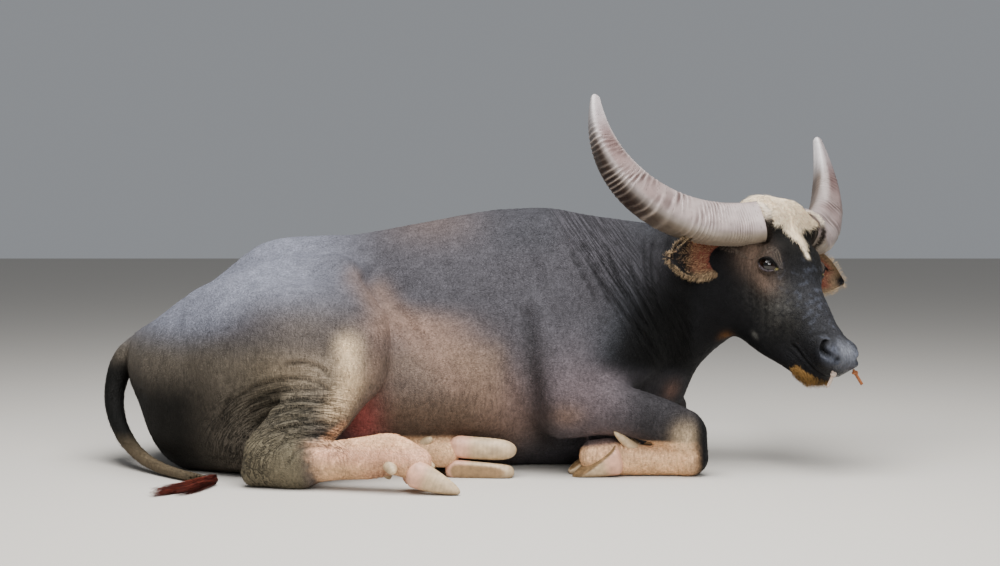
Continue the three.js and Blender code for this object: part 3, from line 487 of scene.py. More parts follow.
def form_distance(points, shape):
    """Distance to the nearest section of one form."""
    nearest = np.full(len(points), FAR_AWAY)
    path = shape["path"]
    for a, b in zip(path[:-1], path[1:]):
        near = inside_box(points, np.array([a[:3], b[:3]]), max(a[3:].max(), b[3:].max()) + REACH)
        nearest[near] = np.minimum(nearest[near], cone_distance(points[near], a, b, shape["side"]))
    return nearest


def join(field, near, distance, blend):
    """Smooth union in place: h = 1/2 + (f - d)/2k within 0 to 1, f becomes f(1 - h) + dh - kh(1 - h)."""
    f = field[near]
    h = np.clip(0.5 + 0.5 * (f - distance) / blend, 0, 1)
    field[near] = f * (1 - h) + distance * h - blend * h * (1 - h)


def skin_distance(points, ear_half=EAR_HALF_FIRST, inset=COAT_DEPTH):
    """Signed distance to the skin."""
    field = np.full(len(points), FAR_AWAY)
    for shape in body:
        path = shape["path"]
        near = inside_box(points, path[:, :3], path[:, 3:].max() + REACH)
        join(field, near, form_distance(points[near], shape), shape["blend"])
    field += inset
    for ear in EARS.values():
        root, along, _, _ = ear_frame(ear)
        near = inside_box(points, np.array([root, root + along * ear["length"]]), REACH)
        join(field, near, ear_distance(points[near], ear, ear_half), EAR_BLEND)
    return field


def onto_skin(points, triangles, which, ear_half=EAR_HALF_FIRST):
    """Moves some vertices along their normals onto the skin, twice over: p - n·f, with f at most 12 mm."""
    normals = normals_of(points, triangles)[which]
    for _ in range(2):
        distance = skin_distance(points[which], ear_half)
        points[which] -= normals * np.clip(distance, -12 * MM, 12 * MM)[:, None]
    return points


# %% [markdown]
# ## From the distance to a mesh
# The field is sampled on a grid near its surface. Each cell that the surface crosses gets one vertex, and
# each crossed grid edge one quad. Checkerboard faces are settled first, so that no edge belongs to more
# than two faces.

# %% From the distance to a mesh
CELL = 13.4 * MM
COARSE = 4


def sampled(low, high):
    """Grid of field values: every fourth point first, then those of the coarse cells near the surface."""
    count = COARSE * np.ceil((high - low) / (COARSE * CELL)).astype(int) + 1
    grid = np.stack(np.meshgrid(*[np.arange(n) for n in count], indexing="ij"), axis=-1)
    rough_grid = grid[::COARSE, ::COARSE, ::COARSE]
    rough = skin_distance(low + rough_grid.reshape(-1, 3) * CELL).reshape(rough_grid.shape[:3])
    near = np.abs(rough) < 0.95 * COARSE * CELL
    cells = np.zeros(np.array(near.shape) - 1, bool)
    for i, j, k in np.ndindex(2, 2, 2):
        cells |= near[i:i + cells.shape[0], j:j + cells.shape[1], k:k + cells.shape[2]]
    wanted = np.zeros(count, bool)
    for i, j, k in np.ndindex(2, 2, 2):
        block = np.repeat(np.repeat(np.repeat(cells, COARSE, 0), COARSE, 1), COARSE, 2)
        wanted[i:i + block.shape[0], j:j + block.shape[1], k:k + block.shape[2]] |= block
    nearest = np.minimum(np.round(grid / COARSE).astype(int), np.array(rough.shape) - 1)
    values = rough[tuple(np.moveaxis(nearest, -1, 0))]
    values[wanted] = skin_distance(low + grid[wanted] * CELL)
    return values


def settle(values):
    """Fills one corner of every checkerboard face, a few times over."""
    for _ in range(3):
        for axis in range(3):
            v = np.moveaxis(values, axis, 0)
            a, b, c, d = v[:, :-1, :-1], v[:, 1:, :-1], v[:, 1:, 1:], v[:, :-1, 1:]
            b[(a < 0) & (c < 0) & (b >= 0) & (d >= 0)] = -0.1 * MM
            a[(a >= 0) & (c >= 0) & (b < 0) & (d < 0)] = -0.1 * MM


def netted(values, low):
    """Vertices and quads of the surface where the values change sign."""
    cells = tuple(np.array(values.shape) - 1)
    total = np.zeros((*cells, 3))
    hits = np.zeros(cells)
    crossings = []
    for axis in range(3):
        start = np.take(values, range(values.shape[axis] - 1), axis)
        end = np.take(values, range(1, values.shape[axis]), axis)
        at = np.argwhere((start < 0) != (end < 0))
        first, second = (n for n in range(3) if n != axis)
        inner = (at[:, first] > 0) & (at[:, first] < cells[first])
        inner &= (at[:, second] > 0) & (at[:, second] < cells[second])
        at = at[inner]
        a, b = start[tuple(at.T)], end[tuple(at.T)]
        place = at.astype(float)
        place[:, axis] += a / (a - b)
        around = []
        for i, j in ((-1, -1), (0, -1), (0, 0), (-1, 0)):
            cell = at.copy()
            cell[:, first] += i
            cell[:, second] += j
            np.add.at(total, tuple(cell.T), place)
            np.add.at(hits, tuple(cell.T), 1)
            around.append(np.ravel_multi_index(tuple(cell.T), cells))
        quads = np.stack(around, axis=1)
        backwards = (a < 0) == (axis == 1)
        quads[backwards] = quads[backwards][:, ::-1]
        crossings.append(quads)
    used = np.flatnonzero(hits.ravel() > 0)
    number = np.zeros(hits.size, int)
    number[used] = np.arange(len(used))
    points = low + CELL * total.reshape(-1, 3)[used] / hits.ravel()[used, None]
    return points, number[np.vstack(crossings)]


def to_triangles(points, quads):
    """Each quad is split along its shorter diagonal."""
    corners = points[quads]
    one = np.linalg.norm(corners[:, 0] - corners[:, 2], axis=1)
    other = np.linalg.norm(corners[:, 1] - corners[:, 3], axis=1)
    quads = np.where((one <= other)[:, None], quads, np.roll(quads, -1, axis=1))
    return np.vstack([quads[:, [0, 1, 2]], quads[:, [0, 2, 3]]])


def refined(points, triangles, wanted):
    """Halves the edges of the wanted triangles, and splits a neighbour with one or two halved edges to match."""
    count = len(points)
    edges = np.sort(triangles[:, [[0, 1], [1, 2], [2, 0]]], axis=2)
    keys = edges[..., 0] * count + edges[..., 1]
    halved = np.unique(keys[wanted])
    split = np.isin(keys, halved)
    middle = count + np.searchsorted(halved, keys)
    points = np.vstack([points, (points[halved // count] + points[halved % count]) / 2])
    made = [triangles[~split.any(axis=1)]]
    every = split.all(axis=1)
    t, m = triangles[every], middle[every]
    made += [np.stack(row, axis=1) for row in (
        (t[:, 0], m[:, 0], m[:, 2]), (m[:, 0], t[:, 1], m[:, 1]), (m[:, 2], m[:, 1], t[:, 2]),
        (m[:, 0], m[:, 1], m[:, 2]))]
    for turn in range(3):
        t, m, s = (np.roll(each, -turn, axis=1) for each in (triangles, middle, split))
        one = s[:, 0] & ~s[:, 1] & ~s[:, 2]
        two = s[:, 0] & s[:, 1] & ~s[:, 2]
        made += [np.stack(row, axis=1) for row in (
            (t[one, 0], m[one, 0], t[one, 2]), (m[one, 0], t[one, 1], t[one, 2]),
            (m[two, 0], t[two, 1], m[two, 1]), (t[two, 0], m[two, 0], m[two, 1]),
            (t[two, 0], m[two, 1], t[two, 2]))]
    return points, np.vstack(made)


def normals_of(points, triangles):
    """Vertex normals: the sum of the cross products of the triangles round each vertex."""
    a, b, c = (points[triangles[:, n]] for n in range(3))
    face = np.cross(b - a, c - a)
    total = np.stack([sum(np.bincount(triangles[:, n], face[:, axis], len(points)) for n in range(3))
                      for axis in range(3)], axis=1)
    return total / np.maximum(np.linalg.norm(total, axis=1, keepdims=True), 1e-12)


GRID_MARGIN = 0.03
GRID_BOTTOM, GRID_TOP = -0.06, 0.76
low, high = np.array(list(CAD_BOX[0])) - GRID_MARGIN, np.array(list(CAD_BOX[1])) + GRID_MARGIN
low[2], high[2] = GRID_BOTTOM, GRID_TOP
grid_values = sampled(low, high)
settle(grid_values)
points, quads = netted(grid_values, low)
triangles = to_triangles(points, quads)
start = points.copy()
points = onto_skin(points, triangles, np.arange(len(points)))
for ear in EARS.values():
    of_ear = near_leaf(ear_place(start, ear), 0.02, 1.15, 16 * MM, 20 * MM)
    points[of_ear] = start[of_ear]
print("first net:", len(points), "vertices,", len(triangles), "triangles")

# %% [markdown]
# ## Finer where it is looked at
# The head, the neck, the folds of the thigh and the feet get edges half as long. The face and the ears
# get them half as long again, and the eyelids once more. New vertices move onto the skin, and the ears get
# their real thickness.


# %% Finer where it is looked at
def centres(points, triangles):
    """Middle of each triangle."""
    return points[triangles].mean(axis=1)


def in_head(places):
    """Which places belong to the head and ears."""
    l, f, _ = on_head(places).T
    return (f > -60) & (np.abs(l) < 360) & (places[:, 0] > 0.54)


def within(places, low_mm, high_mm):
    """Which places lie in a box on the body, in millimetres."""
    return np.all((on_body(places) > low_mm) & (on_body(places) < high_mm), axis=1)


def near_any(places, spots, radius):
    """Which places lie within a radius of any of some spots."""
    return np.any([np.linalg.norm(places - spot, axis=1) < radius for spot in spots], axis=0)


FOLD_BOXES = [
    ([280, -190, 240], [530, 40, 660]),
    ([-680, -480, 60], [-330, -230, 320]),
    ([-640, -520, 0], [-110, -400, 170]),
    ([-330, -260, 0], [-60, -170, 120]),
    ([240, -270, 0], [620, -150, 140]),
    ([280, 320, 0], [420, 440, 120]),
]
eye_points = [head_point(EYE_MM * (sign, 1, 1)) for sign in (1, -1)]


def onto_ears(points, ear_half):
    """Moves the vertices of the ears straight down the slope of the field: p - f·g/|g|², a few times over."""
    of_ears = np.zeros(len(points), bool)
    for ear in EARS.values():
        of_ears |= near_leaf(ear_place(points, ear), 0.02, 1.15, 16 * MM, 18 * MM)
    which = np.flatnonzero(of_ears)
    step = 0.5 * MM
    for _ in range(4):
        place = points[which]
        distance = skin_distance(place, ear_half)
        slope = np.stack([skin_distance(place + way, ear_half) - distance for way in np.eye(3) * step],
                         axis=1) / step
        amount = np.clip(distance, -4 * MM, 4 * MM) / np.maximum((slope**2).sum(axis=1), 0.3)
        points[which] -= slope * amount[:, None]
    return of_ears


def finer(points, triangles, wanted, ear_half):
    """Refines the wanted triangles and moves the new vertices onto the skin, and all those of the ears."""
    count = len(points)
    points, triangles = refined(points, triangles, wanted)
    of_ears = onto_ears(points, ear_half)
    moving = np.flatnonzero((np.arange(len(points)) >= count) & ~of_ears)
    return onto_skin(points, triangles, moving, ear_half), triangles


places = centres(points, triangles)
in_folds = np.any([within(places, *box) for box in FOLD_BOXES], axis=0)
points, triangles = finer(points, triangles, in_head(places) | in_folds, EAR_HALF_NEXT)
print("once refined:", len(triangles), "triangles")

places = centres(points, triangles)
l, f, _ = on_head(places).T
muzzle_eyes_ears = (f > 345) | near_any(places, eye_points, 75 * MM) | (np.abs(l) > 135)
points, triangles = finer(points, triangles, muzzle_eyes_ears & in_head(places), EAR_HALF_LAST)
print("twice refined:", len(triangles), "triangles")

lids = near_any(centres(points, triangles), eye_points, 40 * MM)
points, triangles = finer(points, triangles, lids, EAR_HALF_LAST)
normals = normals_of(points, triangles)
print("refined:", len(points), "vertices,", len(triangles), "triangles")

# %% [markdown]
# ## Eyelids, nostrils and mouth
# Round each eye the skin is given as a height over the eyeball: it dips behind the ball in the
# almond-shaped opening, rises to a rounded lid at its rim and runs out into the face through the folds of
# the lids and brow. Lines are sunk along paths, for the nostrils, the mouth and all the folds of the hide.
# Painted shade darkens the folds round the eyes, the lid lines and every sunk line.

# %% Eyelids, nostrils and mouth
# Painted shade for each vertex: how much the creases, folds, lid lines, nostrils and mouth are darkened.
painted_crease_shade = np.zeros(len(points))
EYE_HALF_LENGTH, UPPER_LID, LOWER_LID = 30.0, 16.0, 10.5
EYE_REACH = 85 * MM
# Folds round the eye: how far outside its opening, depth and width in millimetres, and whether above the
# eye.
LID_FOLDS = [
    (7.5, 2.6, 1.5, True), (15, 1.8, 1.8, True), (23, 2.0, 2.2, True), (31, 1.8, 2.4, True),
    (40, 1.5, 2.6, True),
    (7, 1.7, 1.5, False), (13, 1.2, 1.8, False), (21, 0.9, 2.2, False),
]


def eye_axes(sign):
    """Centre, and directions out of the eye, towards its inner corner, and up."""
    gaze = head_direction(sign * 0.93, 0.2, 0.3)
    inner = head_direction(0, 0.8, 0.6)
    inner = inner - gaze * (inner @ gaze)
    inner /= np.linalg.norm(inner)
    up = np.cross(gaze, inner)
    return head_point(EYE_MM * (sign, 1, 1)), gaze, inner, up * np.sign(up @ head_direction(0, -0.6, 0.8))


def eye_place(where, sign):
    """Millimetres from the eye's centre, along its ball towards the inner corner and up, and ahead of it."""
    centre, gaze, inner, up = eye_axes(sign)
    offset = (where - centre) / MM
    ahead = offset @ gaze
    return (np.linalg.norm(offset, axis=1), EYE_RADIUS_MM * np.arctan2(offset @ inner, ahead),
            EYE_RADIUS_MM * np.arctan2(offset @ up, ahead), ahead)


def lid_gap(a, b):
    """Millimetres outside the opening, whose rim is h(1 - (a/A)²)^0.7. Rings farther out are ellipses."""
    arch = np.clip(1 - (a / EYE_HALF_LENGTH) ** 2, 0, 1) ** 0.7
    sag = 2.5 * np.clip(a / EYE_HALF_LENGTH, -1, 1)
    over = np.maximum(b + sag - UPPER_LID * arch, -(b + sag) - LOWER_LID * arch)
    beyond = np.maximum(np.abs(a) - EYE_HALF_LENGTH, 0)
    lens = np.where(beyond > 0, np.hypot(beyond, np.maximum(over, 0)), over)
    round_height = np.where(b + sag > 0, UPPER_LID, LOWER_LID) + 1
    k = np.sqrt((a / (EYE_HALF_LENGTH + 1)) ** 2 + ((b + sag) / round_height) ** 2)
    ring = (k - 1) / np.maximum(k, 0.1) * np.hypot(a, b + sag)
    far = ramp(lens, 0.5, 4)
    return lens * (1 - far) + ring * far


for sign in (1, -1):
    centre = eye_axes(sign)[0]
    close = np.flatnonzero(np.linalg.norm(points - centre, axis=1) < EYE_REACH)
    radius, a, b, ahead = eye_place(points[close], sign)
    gap = lid_gap(a, b)
    lid = EYE_RADIUS_MM + 2.2 + 2.4 * np.sqrt(np.clip(gap / 4, 0, 1))
    upper = ramp(b, -2, 4)
    folds = sum(depth * np.exp(-((gap - at) / width) ** 2) * (upper if above else 1 - upper)
                for at, depth, width, above in LID_FOLDS)
    face_radius = radius + np.maximum(EYE_RADIUS_MM + 3 - radius, 0) * (1 - ramp(gap, 10, 32))
    wanted = lid + (face_radius - lid) * ramp(gap, 3, 24) - folds
    wanted = np.where(gap < 0, EYE_RADIUS_MM - 5, wanted)
    wanted = np.where((gap >= 0) & (gap < 0.8), EYE_RADIUS_MM + 0.5, wanted)
    amount = (1 - ramp(gap, 44, 52)) * (ahead > 0)
    moved = radius + (wanted - radius) * amount
    points[close] = centre + (points[close] - centre) * (moved / radius)[:, None]
    # Painted shade in the folds round the eye and along the lid line.
    painted_crease_shade[close] += amount * np.clip(folds / 2.4, 0, 1) * 0.6 + amount * (np.abs(gap - 0.5) < 1.2) * 0.7


def to_path(where, path):
    """Distance to a path of points, and how far along it the nearest place is, from 0 to 1."""
    best, along = np.full(len(where), np.inf), np.zeros(len(where))
    for n, (a, b) in enumerate(zip(path[:-1], path[1:])):
        t = np.clip((where - a) @ (b - a) / ((b - a) @ (b - a)), 0, 1)
        distance = np.linalg.norm(where - a - t[:, None] * (b - a), axis=1)
        along = np.where(distance < best, (n + t) / (len(path) - 1), along)
        best = np.minimum(best, distance)
    return best, along


def press_in(near, distance, way, width, depth, fade, lips, dark):
    """Moves points near a line by depth·fade·(exp(-(d/w)²) - lips·exp(-((d - 2w)/w)²)) and paints shade into it.
    """
    dip = np.exp(-(distance / width) ** 2)
    lip = lips * np.exp(-((distance - 2 * width) / width) ** 2)
    points[near] += way * (depth * fade * (dip - lip))[:, None]
    painted_crease_shade[near] = np.maximum(painted_crease_shade[near], dark * fade * dip)


def sink(path, width, depth, direction=None, lips=0.35, dark=1.0):
    """Sinks a line of places on the head, in a direction, or square to the skin with ends that fade."""
    path = smooth_path(np.array([head_point(place) for place in path]), 4)
    near = inside_box(points, path, 4 * width)
    distance, along = to_path(points[near], path)
    fade = ramp(along, 0, 0.18) * ramp(1 - along, 0, 0.18) if direction is None else 1
    way = -normals[near] if direction is None else direction
    press_in(near, distance, way, width, depth, fade, lips, dark)


NOSTRIL = [(60, 400, -28), (69, 418, -42), (60, 437, -40), (44, 452, -36)]
NOSTRIL_WING = [(72, 372, -70), (62, 366, -48), (46, 372, -28), (30, 380, -18)]
MOUTH = [(54, 322, -122), (60, 365, -112), (60, 405, -108), (50, 438, -104), (26, 462, -100), (0, 469, -98)]
LIP_GROOVE = [(0, 474, -34), (0, 478, -60), (0, 474, -92)]
for sign in (1, -1):
    hole, wing, lips = ([(sign * l, f, n) for l, f, n in line] for line in (NOSTRIL, NOSTRIL_WING, MOUTH))
    sink(hole, 7.5 * MM, 15 * MM, head_direction(-0.7 * sign, -0.5, -0.4), lips=0.22)
    sink(wing, 4 * MM, 2.2 * MM, dark=0.5)
    sink(lips, 4.5 * MM, 7 * MM, lips=0.3)
sink(LIP_GROOVE, 2.6 * MM, 2.2 * MM, dark=0.6)
print("eyelids, nostrils and mouth are in place")

# %% [markdown]
# ## Folds of the hide
# Long folds run down the neck from the crest, and short ones circle the bend of the near thigh. The groove
# behind the shoulder, the hollow of the flank and the edge of the shoulder blade are broader. A line here
# is seen from the side, as x and z in millimetres, and it is sunk only on the side of the body named with
# it.

# %% Folds of the hide
NECK_FOLDS = {
    "long fold from the withers": [(258, 640), (262, 603), (284, 547), (309, 501), (340, 460), (381, 406),
                                   (420, 357), (462, 297), (492, 241)],
    "second fold": [(301, 578), (326, 532), (356, 488), (387, 444), (418, 398), (445, 371)],
    "third fold": [(334, 597), (342, 547), (362, 491), (397, 437)],
    "middle fold": [(376, 586), (395, 531), (404, 488), (426, 436), (453, 384), (480, 330)],
    "fold behind the ear": [(431, 625), (433, 545), (436, 487), (453, 448)],
    "fold under the horn": [(471, 625), (452, 575), (448, 512), (459, 448), (475, 390)],
    "fold at the poll": [(504, 615), (494, 575), (487, 544)],
    "short fold of the shoulder": [(284, 547), (304, 506), (325, 463), (340, 429)],
    "faint fold of the shoulder": [(225, 600), (250, 545), (278, 490), (300, 440)],
}
THIGH_FOLDS = {
    "outer arc": [(-656, 136), (-641, 185), (-607, 218), (-553, 249), (-475, 267), (-423, 266), (-385, 248),
                  (-360, 218)],
    "faint upper arc": [(-500, 299), (-449, 308), (-398, 296), (-360, 267)],
    "second arc": [(-611, 174), (-566, 208), (-515, 229), (-448, 242), (-392, 233)],
    "third arc": [(-602, 152), (-569, 180), (-517, 202), (-446, 219), (-397, 214), (-367, 199)],
    "deep arc": [(-604, 135), (-556, 158), (-500, 186), (-451, 200), (-396, 194)],
    "inner arc": [(-601, 118), (-541, 158), (-482, 171), (-445, 175), (-401, 176)],
    "lowest arc": [(-544, 132), (-494, 147), (-445, 159), (-396, 162), (-372, 156)],
    "shank arc": [(-521, 88), (-480, 118), (-432, 132), (-385, 130), (-350, 119)],
    "bend of the hock": [(-478, 48), (-466, 76), (-447, 101), (-413, 110), (-381, 110), (-352, 108)],
    "rear fold": [(-661, 139), (-645, 193), (-617, 225)],
    "rear inner fold": [(-650, 122), (-631, 174), (-600, 212)],
}
FLANK_LINES = {
    "line of the flank": [(-264, 487), (-210, 425), (-143, 339)],
    "second line of the flank": [(-240, 455), (-180, 385), (-120, 300)],
    "rib line": [(41, 470), (49, 374), (49, 299), (75, 222), (101, 142)],
}
normals = normals_of(points, triangles)
near_side = normals[:, 1] < 0.2
far_side = normals[:, 1] > -0.2


def sink_seen_from_side(lines, width, depth, mask, lips=0.35, dark=1.0):
    """Sinks lines given as x and z on the body, in millimetres, wherever the side of the body lies there."""
    flat = on_body(points)[:, [0, 2]] * MM
    for line in lines:
        path = smooth_path(np.array(line, float) * MM, 4)
        near = inside_box(flat, path, 4 * width)
        near = near[mask[near]]
        distance, along = to_path(flat[near], path)
        fade = ramp(along, 0, 0.2) * ramp(1 - along, 0, 0.2)
        press_in(near, distance, -normals[near], width, depth, fade, lips, dark)


both_sides = near_side | far_side
neck = points[:, 0] < 0.62
sink_seen_from_side(NECK_FOLDS.values(), 5.5 * MM, 4.5 * MM, near_side & neck)
sink_seen_from_side(NECK_FOLDS.values(), 5.5 * MM, 4 * MM, far_side & neck)
sink_seen_from_side(THIGH_FOLDS.values(), 5 * MM, 3.6 * MM, near_side & (points[:, 1] < -0.14), dark=0.9)
sink_seen_from_side(FLANK_LINES.values(), 12 * MM, 3 * MM, both_sides, dark=0.15)
GROOVE = [(109, 450), (122, 405), (126, 350), (126, 287), (134, 199), (154, 82)]
sink_seen_from_side([GROOVE], 20 * MM, 11 * MM, both_sides, lips=0.2, dark=0.55)
HOLLOW = [(-300, 545), (-250, 500), (-215, 440)]
sink_seen_from_side([HOLLOW], 45 * MM, 14 * MM, both_sides, lips=0, dark=0)
BLADE = [(150, 590), (165, 545), (182, 480), (196, 420)]
sink_seen_from_side([BLADE], 16 * MM, -6 * MM, both_sides, lips=0.5, dark=0)
# Three short creases cross the hind pastern, and three the bend above each fore foot.
for x in (-262, -249, -236):
    crease_line = [(x, 24), (x + 3, 52), (x + 12, 84)]
    sink_seen_from_side([crease_line], 3.5 * MM, 2.4 * MM, near_side & (points[:, 1] < -0.42), dark=0.6)
for x in (352, 364, 376):
    crease_line = [(x, 40), (x + 2, 70), (x + 8, 96)]
    sink_seen_from_side([crease_line], 3.5 * MM, 2.4 * MM, points[:, 2] < 0.11, dark=0.6)

# What touches the floor lies flat on it.
points[:, 2] = np.maximum(points[:, 2], 1 * MM)
normals = normals_of(points, triangles)
print("folds sunk; deepest crease", round(float(painted_crease_shade.max()), 2))

# %% [markdown]
# ## Markings
# Each point of the skin gets its colour from named hide colours, laid over each other in soft patches that
# are placed on the body in millimetres. Some of them are painted light: a sky reflection on the rump, sheen
# on the neck, nose and muzzle, a highlight on the near hind cannon, and shade under the rump and in the
# groove behind the shoulder. The hairs take their colours from the same function.

# %% Markings
HIDE_AND_PAINTED_LIGHT = {
    "slate": "#403e42", "painted sky reflection": "#6f717c", "brown grey": "#574f43", "pink tan": "#745e52",
    "belly brown": "#33261f", "buff": "#6f5c4c", "tan": "#c9b08e", "hock grey": "#625a49",
    "cream": "#cfa781", "shell pink": "#dca78c", "raw pink": "#8f4f4a", "neck grey": "#2c2d31",
    "black": "#0d0d0f", "coal": "#050505", "arm mauve": "#5c5052", "forearm": "#2b292b",
    "orange cream": "#cfa67c", "painted deep shade": "#0c0b09", "tail grey": "#0e0d0b", "tail drab": "#5d513f",
    "brisket pink": "#8a6757", "eye brown": "#6a584c", "brow": "#675c52", "forehead": "#14120f",
    "nose blue": "#2b2b2e", "cheek grey": "#4c4a46", "ear red": "#6f4034", "ear rim": "#6f5b45",
    "poll cream": "#ffeccd", "painted wet shine": "#666b7a", "painted muzzle highlight": "#a4a7b0", "chin": "#7d5c30",
    "tear yellow": "#a59a62", "lid pink": "#8c7f86", "throat tan": "#7a5028", "hide white": "#77756f",
}


def spot(places, centre, radii):
    """Soft ellipsoid in millimetres: exp(-|(p - c)/r|²)."""
    return np.exp(-(((places - np.array(centre)) / np.array(radii)) ** 2).sum(axis=1))


def stripe(places, line, width):
    """Soft line seen from the side: exp(-(d/w)²)."""
    distance, _ = to_path(places[:, [0, 2]], np.array(line, float))
    return np.exp(-(distance / width) ** 2)


def waves(where, scale):
    """Smooth variation between -1 and 1 that looks random, from crossed sine waves of a length in metres."""
    p = where * (2 * math.pi / scale)
    x, y, z = p.T
    one = np.sin(x + 1.7 * np.sin(0.6 * y + 0.9 * z)) * np.sin(0.8 * z + 1.3 * np.sin(0.7 * x - 0.5 * y))
    two = np.sin(1.9 * z + 1.1 * np.sin(1.3 * x)) * np.sin(2.1 * x + 0.9 * y)
    return 0.65 * one + 0.35 * two


def body_colours(where):
    """Colours of the trunk, neck and upper legs, with a painted reflection, painted sheen and painted shade."""
    places = on_body(where)
    x, y, z = places.T
    near = ramp(-y, 60, 160)
    over_arm = ramp(z + 0.15 * (x - 300), 255, 320)
    flank = [(-230, 430), (-105, 351), (-28, 276), (30, 205)]
    stifle = [(-323, 515), (-273, 468), (-245, 418), (-258, 359), (-274, 283)]
    groove = [(124, 430), (144, 300), (162, 190), (170, 90)]
    return layered(plain(HIDE_AND_PAINTED_LIGHT["slate"], len(where)), HIDE_AND_PAINTED_LIGHT, [
        # Painted reflection of the sky: a pale blue-grey laid over the top of the rump and the back.
        ("painted sky reflection", 0.85 * ramp(z + 0.6 * np.clip(-x - 560, 0, 200), 390, 520) * ramp(-x, 230, 560)),
        ("pink tan", 0.25 * spot(places, (-137, 0, 650), (120, 400, 60))),
        ("neck grey", 0.5 * ramp(x, -60, 90) * ramp(230 - x, 0, 60) * ramp(z, 530, 620)),
        ("brown grey", 0.8 * ramp(-x, 420, 560) * ramp(400 - z, 0, 110)),
        ("pink tan", 0.9 * stripe(places, flank, 78) * ramp(420 - z, -40, 40)),
        ("belly brown", 0.85 * ramp(250 - z, 0, 90) * ramp(x, -420, -200) * ramp(60 - x, 0, 120)),
        ("buff", 0.5 * ramp(370 - z, 0, 80) * ramp(x, -330, -250) * ramp(90 - x, 0, 60)),
        ("belly brown", 0.6 * ramp(170 - z, 0, 80) * ramp(x, -300, -240) * ramp(120 - x, 0, 60)),
        ("pink tan", 0.7 * spot(places, (85, -190, 140), (75, 200, 80))),
        ("pink tan", 0.5 * stripe(places, [(-264, 470), (-143, 330), (-60, 240)], 30)),
        ("tan", 0.08 * near * spot(places, (-440, -380, 385), (120, 250, 60))),
        ("hock grey", 0.8 * near * spot(places, (-470, -400, 190), (120, 250, 90))),
        ("tan", near * stripe(places, [(-328, 345), (-322, 267), (-356, 190)], 32)),
        ("tan", 0.3 * near * spot(places, (-420, -380, 285), (110, 140, 50))),
        ("pink tan", 0.35 * near * stripe(places, stifle, 30)),
        ("raw pink", 1.1 * spot(places, (-305, -240, 150), (50, 70, 85))),
        ("raw pink", 0.5 * spot(places, (-330, 60, 120), (90, 120, 120))),
        # The low rear of the rump is darkened: partly the buttock's own dark hide, partly painted shade near the
        # floor.
        ("painted deep shade", 0.96 * ramp(-x, 610, 780) * ramp(310 - z, 0, 130)),
        ("arm mauve", 0.85 * spot(places, (240, 0, 200), (150, 1000, 110)) * ramp(np.abs(y), 120, 190)),
        ("pink tan", 0.7 * spot(places, (215, -262, 160), (45, 60, 30))),
        ("forearm", 0.95 * ramp(x, 330, 430) * ramp(300 - z, 0, 80)),
        # Painted shade in the groove behind the shoulder.
        ("painted deep shade", 0.55 * stripe(places, groove, 32) * ramp(440 - z, 0, 170)),
        ("neck grey", over_arm * ramp(x + 0.35 * (600 - z), 320, 450)),
        ("black", over_arm * ramp(x + 0.45 * (560 - z), 400, 490)),
        ("coal", over_arm * ramp(x + 0.45 * (560 - z), 430, 530)),
        # Painted sheen: a paler slate patch on the upper neck, between the folds.
        ("slate", 0.75 * spot(places, (415, -120, 560), (90, 200, 75))),
        ("brisket pink", 0.4 * spot(places, (512, -20, 196), (26, 40, 26))),
    ])


def leg_colours(where, c):
    """Colours of the hocks, cannons, knees and tail over those of the body, with a painted highlight on a
    cannon.
    """
    places = on_body(where)
    x, y, z = places.T
    near_foot = ramp(-y, 350, 385)
    bend = 112 + 0.8 * np.clip(x + 400, 0, 60)
    edge = x + 0.3 * (z - 60) + 9 * waves(where, 0.05)
    uneven = waves(where, 0.04)
    cannon = near_foot * ramp(edge, -428, -376) * ramp(bend - z + 6 * uneven, -14, 12)
    far_foot = ramp(110 - z, 0, 20) * ramp(x, -300, -260) * ramp(-x, 50, 60)
    far_foot = far_foot * ramp(-y, 120, 150) * ramp(275 + y, 0, 8)
    both = np.stack([x, np.abs(y - 86), z], axis=1)
    fore = ramp(x, 205, 225) * ramp(both[:, 1], 220, 250)
    sock = ramp(98 - z - 0.12 * np.maximum(400 - x, 0), 0, 12)
    sock = sock * ramp(592 - x + 0.5 * (50 - z) + 8 * uneven, 0, 44)
    on_tail = form_distance(where, tail) < 12 * MM
    return layered(c, HIDE_AND_PAINTED_LIGHT, [
        ("hock grey", near_foot * ramp(-x, 400, 450) * ramp(170 - z, 0, 60)),
        ("buff", 0.7 * near_foot * ramp(edge, -455, -405) * ramp(bend - z, -24, 4)),
        ("cream", cannon),
        ("shell pink", 0.75 * cannon * ramp(z, 50, 90)),
        # Painted highlight along the top of the near hind cannon, in the orange cream colour.
        ("orange cream", 0.6 * cannon * ramp(z, 96, 122)),
        ("raw pink", 0.4 * cannon * spot(places, (-250, -460, 40), (45, 90, 30))),
        ("cream", far_foot),
        ("cream", fore * sock),
        ("tan", 0.65 * fore * spot(both, (524, 330, 102), (34, 60, 34))),
        ("orange cream", 0.7 * fore * ramp(52 - z, 0, 30) * ramp(545 - x, 0, 20)),
        ("shell pink", 0.35 * fore * spot(both, (325, 372, 80), (60, 80, 30))),
        ("tail grey", on_tail * ramp(-x, 845, 930) * ramp(300 - z, 0, 60)),
        ("tail drab", on_tail * ramp(100 - z, 0, 60) * ramp(-x, 640, 660)),
    ])


POLL_BACK, POLL_SIDE, POLL_BELOW = 78, 128, 58


def poll_edge(side, f, n):
    """How far inside the cream cap of the poll a place is, in millimetres. Its front edge dips to a V."""
    front = 92 - 0.42 * side + 42 * np.exp(-((side - 4) / 13) ** 2) - 14 * np.exp(-((side - 45) / 18) ** 2)
    ends = np.minimum(front - f, f + POLL_BACK)
    return np.minimum(ends, np.minimum(POLL_SIDE - side + 0.3 * n, n + POLL_BELOW))


